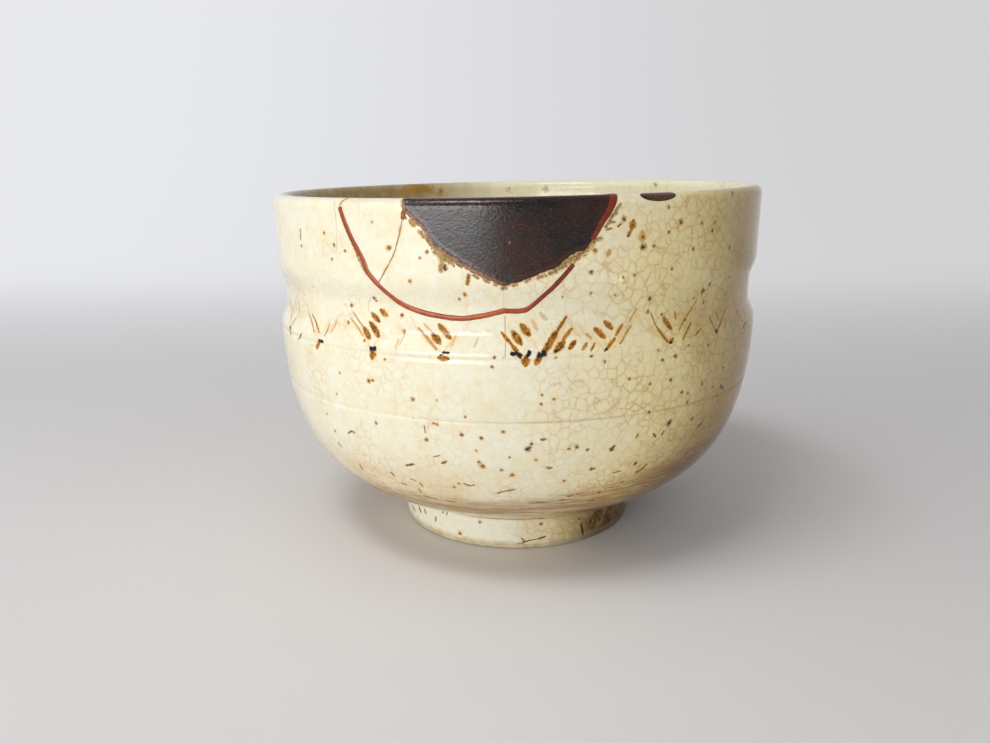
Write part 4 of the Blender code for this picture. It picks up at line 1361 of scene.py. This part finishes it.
def age_and_shade_of(azimuth, height, outside):
    """How worn the glaze is, and where painted shade darkens it: more to the right and behind, most of all
    low at the right.
    """
    right = ramp(azimuth, -0.15, 1.15) ** 1.2 * np.maximum(ramp(azimuth, 2.9, 1.0), 0.40)
    low_right = 0.16 * ramp(height, 0.050, 0.030) * ramp(azimuth, 0.15, 0.65)
    right += low_right * ramp(azimuth, 2.4, 1.6) * outside
    return np.clip(np.maximum(right, 0.5 * ramp(np.abs(azimuth), 1.3, 2.1)), 0, 1)


def break_gaps(azimuth, height):
    """The distance of each point to the nearest break, or a metre far from the mend."""
    spots = on_rim(azimuth, height)
    gaps = np.full(len(azimuth), 1.0)
    near = np.flatnonzero(np.abs(azimuth) < MEND_AZIMUTH)
    for line in STAINED_LINES:
        gaps[near] = np.minimum(gaps[near], line_gap(spots[near], LINES[line])[0])
    return gaps


def glaze_fields(mesh):
    """Writes the fields that the glaze's material reads."""
    places = points_of(mesh)
    azimuth, height = azimuth_of(places), places[:, 2]
    way = BOWL.nearest(np.hypot(places[:, 0], places[:, 1]), height)
    for name, marks in MARKS_BY_FIELD.items():
        cover, tone = coverage(azimuth, way, marks)
        add_fields(mesh, {name: cover})
        if name not in ("blot", "scar"):
            add_fields(mesh, {f"{name}_tone": tone})
    outside = (way > LIP_WAY).astype(float)
    foot = ramp(way, FOOT_TOP_WAY, FOOT_TOP_WAY + 0.0004)
    # Soil on the lower wall, which also paints the shade of the lower belly.
    soil_and_shade_top = 0.034 + 0.014 * ramp(azimuth, 0.3, 1.3)
    soil_and_shade = ramp(height - soil_and_shade_top, 0.0, -0.016) * outside * (1 - foot)
    groove = faded(np.abs(way - outer_way(BOWL_HEIGHT - BELLY_LINE_DROP)), 0.0003)
    far_left = ramp(azimuth, -3.05, -2.60) * ramp(azimuth, 0.0, -1.2)
    add_fields(mesh, {
        "break_gap": faded(break_gaps(azimuth, height), 0.002),
        # Wear, and painted shade of the right side.
        "age_and_shade": age_and_shade_of(azimuth, height, outside),
        "inside": 1 - outside,
        "groove": groove * ramp(azimuth, -0.45, 0.05),
        # Olive on the inner left wall: tea stain and painted shade.
        "tea_and_shade": (1 - outside) * far_left * ramp(height, 0.02, 0.05),
        "foot": foot,
        # Stains of the foot's right end, which also paint its shade.
        "foot_stain_and_shade": foot * ramp(azimuth, 0.25, 0.70) * ramp(azimuth, 2.6, 2.1),
        "soil_and_shade": soil_and_shade * np.clip(0.45 + np.abs(azimuth - 0.1) / 1.2, 0, 1),
        # A dark line where the foot meets the wall: painted shade in the crease, with dirt.
        "foot_line": faded(np.abs(way - FOOT_TOP_WAY + 0.0001), 0.0003),
        "bare": ramp(way, BASE_WAY - 0.0004, BASE_WAY),
    })


def linear(*levels):
    """A colour given in display levels from 0 to 255, as the shader wants it."""
    colour = []
    for level in levels:
        share = level / 255
        colour.append(share / 12.92 if share <= 0.04045 else ((share + 0.055) / 1.055) ** 2.4)
    return (*colour, 1.0)


class Finish:
    """Short words for the nodes of a material. A text that feeds a node names a field of the mesh."""

    def __init__(self, name):
        self.material = bpy.data.materials.new(name)
        self.material.use_nodes = True
        self.tree = self.material.node_tree
        self.shader = self.tree.nodes["Principled BSDF"]
        self.place = self.node("TexCoord").outputs["Object"]
        self.axes = self.node("SeparateXYZ", {0: self.place}).outputs
        self.colour = None

    def feed(self, socket, value):
        if isinstance(value, str):
            value = self.node("Attribute", attribute_name=value).outputs["Fac"]
        if isinstance(value, bpy.types.NodeSocket):
            self.tree.links.new(value, socket)
        else:
            socket.default_value = value

    def node(self, kind, sockets=(), **settings):
        """A new node with its settings, and with its sockets fed."""
        node = self.tree.nodes.new(f"ShaderNode{kind}")
        for key, value in settings.items():
            setattr(node, key, value)
        for key, value in dict(sockets).items():
            self.feed(node.inputs[key], value)
        return node

    def math(self, operation, first, second):
        return self.node("Math", {0: first, 1: second}, operation=operation).outputs[0]

    def add(self, first, second):
        return self.math("ADD", first, second)

    def most(self, first, second):
        return self.math("MAXIMUM", first, second)

    def rest(self, share):
        """What a share leaves of 1."""
        return self.math("SUBTRACT", 1.0, share)

    def times(self, first, *others):
        """The product of two or more values."""
        for value in others:
            first = self.math("MULTIPLY", first, value)
        return first

    def frayed(self, value, noise, amount):
        """A value made ragged by a noise."""
        return self.add(value, self.times(self.add(noise, -0.5), amount))

    def between(self, value, low, high, out_low=0.0, out_high=1.0):
        """A smooth step of a value from low to high."""
        sockets = {"Value": value, "From Min": low, "From Max": high, "To Min": out_low, "To Max": out_high}
        return self.node("MapRange", sockets, interpolation_type="SMOOTHSTEP").outputs["Result"]

    def blend(self, share, first, second):
        """A colour mixed from two others, each in display levels or from a node."""
        pair = [linear(*colour) if isinstance(colour, tuple) else colour for colour in (first, second)]
        return self.node("Mix", {0: share, 6: pair[0], 7: pair[1]}, data_type="RGBA").outputs[2]

    def coat(self, share, colour):
        """Lays another colour over the colour so far."""
        self.colour = self.blend(share, self.colour, colour)

    def noise(self, scale, detail=2.0, roughness=0.5):
        """Noise. With a scale for each axis, its grain runs long in the axis of the lowest."""
        place = self.place
        if isinstance(scale, tuple):
            place = self.node("Mapping", {"Vector": place, "Scale": scale}).outputs["Vector"]
            scale = 1.0
        sockets = {"Vector": place, "Scale": scale, "Detail": detail, "Roughness": roughness}
        return self.node("TexNoise", sockets).outputs["Fac"]

    def warped(self, scale, reach):
        """The place pushed about by noise."""
        noise = self.node("TexNoise", {"Vector": self.place, "Scale": scale, "Detail": 2.0})
        push = {0: noise.outputs["Color"], 1: (reach, reach, reach), 2: self.place}
        return self.node("VectorMath", push, operation="MULTIPLY_ADD").outputs["Vector"]

    def cells(self, scale, place, feature="DISTANCE_TO_EDGE"):
        return self.node("TexVoronoi", {"Vector": place, "Scale": scale}, feature=feature).outputs["Distance"]

    def relief(self, height, depth, below=None):
        """A bump of a height field, on top of another."""
        sockets = {"Height": height, "Distance": depth}
        if below is not None:
            sockets["Normal"] = below
        return self.node("Bump", sockets).outputs["Normal"]

    def done(self, roughness, normal, gloss=0.5):
        """The material, with the colour laid so far."""
        inputs = self.shader.inputs
        self.feed(inputs["Base Color"], self.colour)
        self.feed(inputs["Roughness"], roughness)
        self.feed(inputs["Normal"], normal)
        self.feed(inputs["Specular IOR Level"], gloss)
        return self.material


def glaze_base(made, wear_and_shade, patchy):
    """Cream, tanned by age and by painted shade to the right and behind, paler on the foot away from that
    shade and inside, and soiled and painted with shade below.
    """
    mottle, blotches = made.noise(260.0, 4.0, 0.6), made.noise(95.0, 3.0, 0.7)
    made.colour = made.blend(made.between(mottle, 0.35, 0.68), (242, 239, 217), (240, 233, 203))
    made.coat(made.between(blotches, 0.50, 0.72, 0.0, 0.30), (243, 220, 164))
    # Tan, then ochre: age, and painted shade of the right side.
    made.coat(made.between(wear_and_shade, 0.06, 0.60, 0.0, 0.92), (247, 233, 172))
    made.coat(made.between(wear_and_shade, 0.40, 1.05, 0.0, 0.95), (164, 126, 34))
    flecks = made.between(made.noise((520.0, 520.0, 260.0), 3.0, 0.6), 0.57, 0.70, 0.0, 0.38)
    flecks = made.times(flecks, made.between(blotches, 0.36, 0.56, 0.2, 1.0), made.between("age_and_shade", 0.6, 0.2))
    made.coat(flecks, (240, 204, 136))
    made.coat(made.times("foot", made.between("age_and_shade", 0.14, 0.0, 0.0, 0.8)), (252, 252, 232))
    made.coat(made.times("inside", made.between(patchy, 0.3, 0.7, 0.70, 0.95)), (253, 251, 224))
    # Olive on the inner left wall: tea stain and painted shade.
    made.coat(made.times("tea_and_shade", made.between(mottle, 0.3, 0.7, 0.70, 0.90)), (144, 110, 16))
    drips = made.noise((260.0, 260.0, 12.0), 3.0, 0.6)
    made.coat(made.times("inside", made.between(drips, 0.5, 0.75, 0.0, 0.28)), (196, 176, 118))
    glaze_soil_and_shade(made, mottle, blotches)
    made.coat(made.times("groove", made.between(patchy, 0.3, 0.6, 0.25, 0.7)), (168, 138, 84))


def glaze_soil_and_shade(made, mottle, blotches):
    """Soil and painted shade on the lower wall, streaks above the foot, and the stains of the foot itself,
    with painted shade at its right end.
    """
    # Soil, and the painted shade of the lower belly.
    soil_and_shade = made.times("soil_and_shade", made.between(blotches, 0.36, 0.60, 0.25, 0.72))
    made.coat(soil_and_shade, made.blend(made.between("age_and_shade", 0.0, 0.7), (204, 170, 106), (132, 100, 34)))
    top = made.add(made.times("age_and_shade", 0.011), 0.0232)
    low = made.between(made.axes["Z"], top, made.add(top, -0.0065))
    low = made.times(low, made.rest(made.most("foot", "inside")))
    streaks = made.between(made.noise((80.0, 80.0, 1300.0), 4.0, 0.65), 0.38, 0.58, 0.30, 1.0)
    made.coat(made.times(low, streaks, 0.85), made.blend("age_and_shade", (146, 110, 50), (88, 60, 18)))
    fine_streaks = made.between(made.noise((150.0, 150.0, 2600.0), 3.0, 0.7), 0.56, 0.64)
    made.coat(made.times(made.between(low, 0.0, 0.6), fine_streaks, 0.85), (78, 50, 16))
    # Stains and painted shade at the foot's right end.
    made.coat(made.times("foot_stain_and_shade", made.between(mottle, 0.34, 0.58, 0.30, 1.0), 0.94), (58, 42, 14))
    # A dark line where the foot meets the wall: painted shade in the crease, with dirt.
    made.coat(made.times("foot_line", made.between(mottle, 0.34, 0.60, 0.35, 0.85)), (78, 54, 24))


def glaze_crackle(made, wear_and_shade):
    """A net of soft brown cracks in two sizes, stronger where the glaze is worn, and darker where painted
    shade lies on the right side.
    """
    web = made.cells(440.0, made.warped(300.0, 0.0018))
    fine_web = made.cells(860.0, made.warped(500.0, 0.0010))
    gaps = made.between(made.noise(420.0, 2.0, 0.6), 0.38, 0.58, 0.25, 1.0)
    aged_and_shaded = made.between(wear_and_shade, 0.45, 0.90)
    show = made.between(made.frayed(wear_and_shade, made.noise(80.0), 1.5), -0.10, 0.75, 0.06, 0.48)
    show = made.add(made.times(show, made.rest(made.times(aged_and_shaded, 0.45))), made.times("soil_and_shade", 0.30))
    show = made.times(show, made.rest(made.times("inside", 0.8)))
    haze = made.times(made.between(web, 0.36, 0.0), show, 0.46)
    line = made.times(made.between(web, 0.105, 0.0), gaps, show)
    fine_line = made.times(made.between(fine_web, 0.09, 0.0), gaps, show, 0.55)
    made.coat(haze, made.blend(aged_and_shaded, (224, 184, 108), (134, 98, 36)))
    made.coat(line, made.blend(aged_and_shaded, (196, 134, 54), (104, 66, 20)))
    made.coat(fine_line, made.blend(aged_and_shaded, (202, 148, 70), (112, 76, 26)))
    return web


def glaze_breaks(made, mottle, grain):
    """Hairlines, the brown lines of the breaks, and the bare crumbling ground beside the fill."""
    hair = made.between(made.frayed("hairline", grain, 0.35), 0.25, 0.75)
    made.coat(made.times(hair, 0.8), made.blend("hairline_tone", (214, 172, 112), (120, 70, 30)))
    made.coat(made.between(made.frayed("break_gap", mottle, 0.6), 0.78, 1.0, 0.0, 0.7), (204, 152, 70))
    made.coat(made.between("break_gap", 0.935, 0.98, 0.0, 0.9), (98, 62, 30))
    crumbs = made.noise(1750.0, 4.0, 0.75)
    scar = made.between(made.frayed("scar", crumbs, 2.4), 0.36, 0.66)
    scar = made.times(scar, made.between("scar", 0.02, 0.25))
    ground = made.blend(made.between(grain, 0.40, 0.60), (192, 152, 70), (118, 82, 30))
    ground = made.blend(made.between(crumbs, 0.60, 0.70), ground, (66, 46, 24))
    made.coat(made.between("scar", 0.0, 0.5, 0.0, 0.5), (222, 184, 112))
    made.coat(made.times(scar, 0.88), ground)
    return crumbs, scar


def glaze_ink(made, grain):
    """The frieze: faint washes, golden strokes with dark cores, and blue-black blots."""
    wash = made.between(made.frayed("faint", grain, 0.9), 0.25, 0.75)
    made.coat(made.times(wash, made.between("faint_tone", 0.0, 1.0, 0.12, 0.42)), (226, 178, 96))
    load = made.between("stroke_tone", -0.6, 0.25, 0.3, 1.0)
    gold = made.blend(made.between(made.noise(2100.0, 2.0, 0.6), 0.40, 0.60), (208, 146, 30), (172, 102, 6))
    dark = made.add(made.times(made.between("stroke_tone", -0.1, 1.1), 0.15), made.times("stroke", 0.04))
    core = made.between(made.add(made.noise(1500.0, 3.0, 0.7), dark), 0.48, 0.80)
    ink = made.blend(made.times(core, made.between("stroke", 0.40, 0.62)), gold, (92, 54, 8))
    made.coat(made.times(made.between("stroke", 0.0, 0.5), load, 0.50), (236, 190, 100))
    made.coat(made.times(made.between(made.frayed("stroke", grain, 0.9), 0.30, 0.58), load), ink)
    blot, near_blot = made.frayed("blot", grain, 2.2), made.between("blot", 0.02, 0.22)
    made.coat(made.times(made.between(blot, 0.20, 0.40, 0.0, 0.8), near_blot), (128, 88, 24))
    made.coat(made.times(made.between(blot, 0.38, 0.58), near_blot), (24, 22, 22))


def glaze_iron(made, grain):
    """Iron specks with golden halos, and a strewing of finer dust."""
    speck = made.frayed("speck", grain, 1.1)
    cover = made.between(speck, 0.56, 0.76)
    halo = made.blend(made.between("speck_tone", 0.3, 0.9), (206, 148, 52), (166, 120, 50))
    made.coat(made.between(speck, 0.12, 0.56, 0.0, 0.75), halo)
    made.coat(cover, made.blend(made.between("speck_tone", 0.05, 0.95), (172, 98, 14), (74, 48, 12)))
    for scale, spread, brown in ((210.0, 0.075, (186, 124, 52)), (430.0, 0.085, (206, 152, 84))):
        dust = made.between(made.cells(scale, made.warped(900.0, 0.0006), "F1"), spread, spread * 0.55)
        kept = made.between(made.noise(scale * 0.9, 1.0), 0.50, 0.60)
        made.coat(made.times(dust, kept, 0.7), brown)
    return cover


def glaze_material():
    """Cream glaze with a brown crackle, iron brush marks and specks, stains of use, and painted shade to the
    right, low down, at the foot's right end and on the inner left wall.
    """
    made = Finish("cream_crackle_glaze")
    patchy = made.noise(38.0, 3.0, 0.6)
    mottle, grain = made.noise(420.0, 3.0, 0.6), made.noise(1700.0, 3.0, 0.7)
    wear_and_shade = made.frayed("age_and_shade", patchy, 0.5)
    glaze_base(made, wear_and_shade, patchy)
    web = glaze_crackle(made, wear_and_shade)
    stain = made.between(made.frayed("stain", made.noise(620.0, 3.0, 0.7), 1.9), 0.24, 1.0, 0.0, 0.95)
    made.coat(stain, made.blend("stain_tone", (206, 160, 66), (116, 74, 14)))
    crumbs, scar = glaze_breaks(made, mottle, grain)
    glaze_ink(made, grain)
    speck = glaze_iron(made, grain)
    clay = made.blend(made.between(mottle, 0.3, 0.7), (224, 212, 180), (198, 178, 136))
    clay = made.blend(made.between(crumbs, 0.62, 0.72), clay, (128, 100, 64))
    # The bare base, darkened at the right by the foot's stains and painted shade.
    made.coat("bare", made.blend(made.times("foot_stain_and_shade", 0.75), clay, (96, 74, 38)))
    rough = made.most(made.between(mottle, 0.3, 0.7, 0.07, 0.13), made.times(scar, 0.6))
    normal = made.relief(made.noise(170.0), 0.00005)
    normal = made.relief(made.between(web, 0.0, 0.06), 0.000008, normal)
    normal = made.relief(made.rest(speck), 0.00003, normal)
    normal = made.relief(made.times(crumbs, scar), 0.00014, normal)
    return made.done(made.most(rough, made.times("bare", 0.75)), normal)


def dark_lacquer_material():
    """Satin dark brown lacquer with the fine grain of the brush, and a painted highlight along its lower-left
    border.
    """
    made = Finish("dark_brown_lacquer")
    grain = made.noise((1700.0, 1700.0, 2300.0), 3.0, 0.65)
    threads = made.noise((2400.0, 2400.0, 700.0), 2.0, 0.6)
    strokes = made.noise((120.0, 120.0, 700.0), 2.0, 0.55)
    clouds = made.noise(70.0, 3.0, 0.6)
    made.colour = made.blend(made.between(clouds, 0.38, 0.62), (4, 6, 5), (46, 18, 6))
    made.coat(made.between(grain, 0.50, 0.68, 0.0, 0.55), (80, 37, 22))
    made.coat(made.between(strokes, 0.55, 0.75, 0.0, 0.5), (14, 20, 20))
    made.coat(made.times("border", made.between(clouds, 0.3, 0.6, 0.3, 0.8)), (70, 26, 14))
    # Painted highlight along the fill's left border.
    made.coat(made.times("painted_edge_highlight", made.between(grain, 0.35, 0.6, 0.35, 0.9)), (182, 138, 112))
    made.coat("lip", (60, 16, 10))
    made.coat(made.times("pit", 0.5), (92, 50, 34))
    made.coat(made.times("earthy", 0.85), (82, 52, 14))
    made.coat(made.between(made.add("blot", made.times(clouds, 0.3)), 0.35, 0.7, 0.0, 0.8), (20, 24, 34))
    under = made.relief(threads, 0.00002, made.relief(strokes, 0.000014))
    return made.done(made.between(grain, 0.35, 0.65, 0.10, 0.30), made.relief(grain, 0.00005, under), 0.58)


def red_lacquer_material():
    """Satin brick-red lacquer, darker where the brush left little of it, and lightened by a painted sheen on
    its stretch just left of the front.
    """
    made = Finish("brick_red_lacquer")
    clouds, grain = made.noise(150.0, 3.0, 0.6), made.noise(1300.0, 3.0, 0.65)
    # The pinkish base is brick red with a painted sheen; it shows between the left and right stretches.
    made.colour = made.blend(made.between(clouds, 0.35, 0.65), (154, 62, 10), (184, 88, 20))
    made.coat(made.between(made.axes["X"], -0.026, -0.034, 0.0, 0.80), (150, 62, 6))
    made.coat(made.between(made.axes["X"], 0.000, 0.006, 0.0, 0.85), (118, 34, 2))
    made.coat(made.between(grain, 0.5, 0.75, 0.0, 0.4), (98, 26, 3))
    return made.done(made.between(grain, 0.3, 0.7, 0.22, 0.34), made.relief(grain, 0.00002), 0.55)


def lacquer_fields(mesh):
    """Writes the fields that the dark lacquer's material reads."""
    places = points_of(mesh)
    azimuth, height = azimuth_of(places), places[:, 2]
    gap = line_gap(on_rim(azimuth, height), LINES["fill_border"])[0]
    pit_height = FILL_SECTION.at(FILL_SECTION.height, FILL_PIT[1])
    pit = spot_gap(azimuth, height, (FILL_PIT[0], pit_height))
    drop = spot_gap(azimuth, height, (DROP_SEEN[0], BOWL.at(BOWL.height, DROP_SEEN[1])))
    add_fields(mesh, {
        "border": faded(gap, 0.0016),
        # Painted highlight along the fill's left border.
        "painted_edge_highlight": ramp(gap, 0.00096, 0.00036) * ramp(azimuth, 0.0, -0.12),
        "lip": ramp(height, BOWL_HEIGHT - 0.0006, BOWL_HEIGHT - 0.0003),
        "pit": np.exp(-(((pit - PIT_REACH) / 0.0002) ** 2)),
        "earthy": ramp(azimuth, 0.42, 0.47),
        "blot": faded(drop, 0.0016),
    })


def all_cutters():
    """Every cutter by its name: the edges of the pieces, the beds of the lacquer and the lacquer's forms."""
    cutters = {"hole": wedge("hole", grown(OUTLINES["hole"], CRACK_GAP / 2))}
    for name in (*SHERDS, "dark_fill"):
        cutters[f"{name}_edge"] = wedge(f"{name}_edge", grown(OUTLINES[name], -CRACK_GAP / 2))
    for name in STRIPS:
        cutters[f"{name}_bed"] = wedge(f"{name}_bed", strip_shape(name, BED_GAP))
        cutters[f"{name}_form"] = wedge(f"{name}_form", strip_shape(name))
    cutters["chip"] = chip_scoop("chip", 0.0)
    cutters["chip_form"] = chip_scoop("chip_form", BED_GAP)
    return cutters


def build_pieces():
    """Parts the turned walls with the cutters, and dresses every node with its own piece of them."""
    glaze, dark, red = glaze_material(), dark_lacquer_material(), red_lacquer_material()
    cutters = all_cutters()
    beds = [("DIFFERENCE", cutters[f"{name}_bed"]) for name in STRIPS]
    whole = skin("whole_wall", glaze_lattice(), glaze_offset)
    cuts = {"bowl_body": [("DIFFERENCE", cutters["hole"]), ("DIFFERENCE", cutters["chip"])]}
    cuts |= {name: [("INTERSECT", cutters[f"{name}_edge"])] for name in SHERDS}
    for name, row in cuts.items():
        mesh = cut_mesh(whole, row + beds)
        glaze_fields(mesh)
        dress(f"{name}_glazed", mesh, name, glaze)
    fill = skin("fill_wall", fill_lattice(), fill_offset)
    chip_mesh = cut_mesh(whole, [("INTERSECT", cutters["chip_form"])])
    fill_mesh = cut_mesh(fill, [("INTERSECT", cutters["dark_fill_edge"]), *beds[1:]])
    lacquer_fields(chip_mesh)
    lacquer_fields(fill_mesh)
    dress("rim_chip_lacquer", chip_mesh, "rim_chip_fill", dark)
    dress("dark_fill_lacquer", fill_mesh, "dark_fill", dark)
    for name in STRIPS:
        strip = skin(f"{name}_wall", strip_lattice(name), strip_offset(name))
        mesh = cut_mesh(strip, [("INTERSECT", cutters[f"{name}_form"])])
        dress(f"{name}_lacquer", mesh, name, red)
    for cutter in cutters.values():
        bpy.data.objects.remove(cutter)


def sweep_material():
    """Pale paper that takes shadows near the bowl, and behind it glows as painted light, paler at the left
    than at the right.
    """
    made = Finish("pale_sweep")
    made.feed(made.shader.inputs["Base Color"], linear(232, 231, 232))
    made.feed(made.shader.inputs["Roughness"], 0.9)
    path = made.node("LightPath").outputs
    seen_ray = made.most(made.most(path["Is Camera Ray"], path["Is Glossy Ray"]), path["Is Transmission Ray"])
    # Painted light: a glow that is paler at the left than at the right.
    pale = made.blend(made.between(made.axes["X"], -0.42, 0.36), (232, 233, 238), (210, 210, 211))
    glow = made.node("Emission", {"Color": pale})
    share = made.times(seen_ray, made.between(made.axes["Y"], 0.05, 0.50))
    mixer = made.node("MixShader", {0: share, 1: made.shader.outputs[0], 2: glow.outputs[0]})
    made.feed(made.tree.nodes["Material Output"].inputs["Surface"], mixer.outputs[0])
    return made.material


def build_stage():
    """A pale sweep: a floor that curves up into a backdrop."""
    depth, height, curve, half_width, front = 0.75, 1.6, 0.35, 2.5, -2.2
    profile = [(front, 0.0), (depth - curve, 0.0)]
    for step in range(1, 16):
        angle = math.pi / 2 * step / 16
        profile.append((depth - curve + curve * math.sin(angle), curve - curve * math.cos(angle)))
    profile += [(depth, curve), (depth, height)]
    points = [(side, y, z) for y, z in profile for side in (-half_width, half_width)]
    faces = [(2 * i, 2 * i + 1, 2 * i + 3, 2 * i + 2) for i in range(len(profile) - 1)]
    mesh = bpy.data.meshes.new("sweep")
    mesh.from_pydata(points, [], faces)
    mesh.materials.append(sweep_material())
    mesh.shade_smooth()
    linked("sweep", mesh)


def soft_light(name, place, width, height, power, colour=(1.0, 1.0, 1.0)):
    """A rectangle of light turned toward the middle of the bowl."""
    light = bpy.data.lights.new(name, "AREA")
    light.shape = "RECTANGLE"
    light.size, light.size_y = width, height
    light.energy = power
    light.color = colour
    lamp = linked(name, light)
    lamp.location = place
    lamp.rotation_mode = "QUATERNION"
    lamp.rotation_quaternion = (LIGHT_TARGET - Vector(place)).to_track_quat("-Z", "Y")


def build_lights():
    """A low window at the front left, two soft lights above, and a pale room."""
    soft_light("window", (-0.31, -0.515, 0.10), 0.42, 0.14, 1.38)
    soft_light("overhead", (-0.22, -0.26, 0.72), 0.34, 0.16, 1.55)
    soft_light("sky", (-0.77, -0.41, 0.65), 0.70, 0.70, 1.5, (1.0, 0.99, 0.97))
    world = bpy.data.worlds.new("room")
    world.use_nodes = True
    background = world.node_tree.nodes["Background"]
    background.inputs["Color"].default_value = linear(232, 231, 230)
    background.inputs["Strength"].default_value = 0.455
    bpy.context.scene.world = world


def build_camera():
    """The photograph's camera."""
    camera = bpy.data.cameras.new("photo_camera")
    camera.sensor_width = SENSOR_WIDTH
    camera.lens = SENSOR_WIDTH * FOCAL_PIXELS / PHOTO_WIDTH
    camera.clip_start, camera.clip_end = 0.01, 20.0
    right, up, forward = camera_axes()
    turn = Matrix((right, up, -forward)).transposed()
    viewer = linked("photo_camera", camera)
    viewer.matrix_world = Matrix.Translation(CAMERA_PLACE) @ turn.to_4x4()
    bpy.context.scene.camera = viewer


build_camera()
build_pieces()
build_stage()
build_lights()
bpy.context.scene.view_settings.view_transform = "Standard"
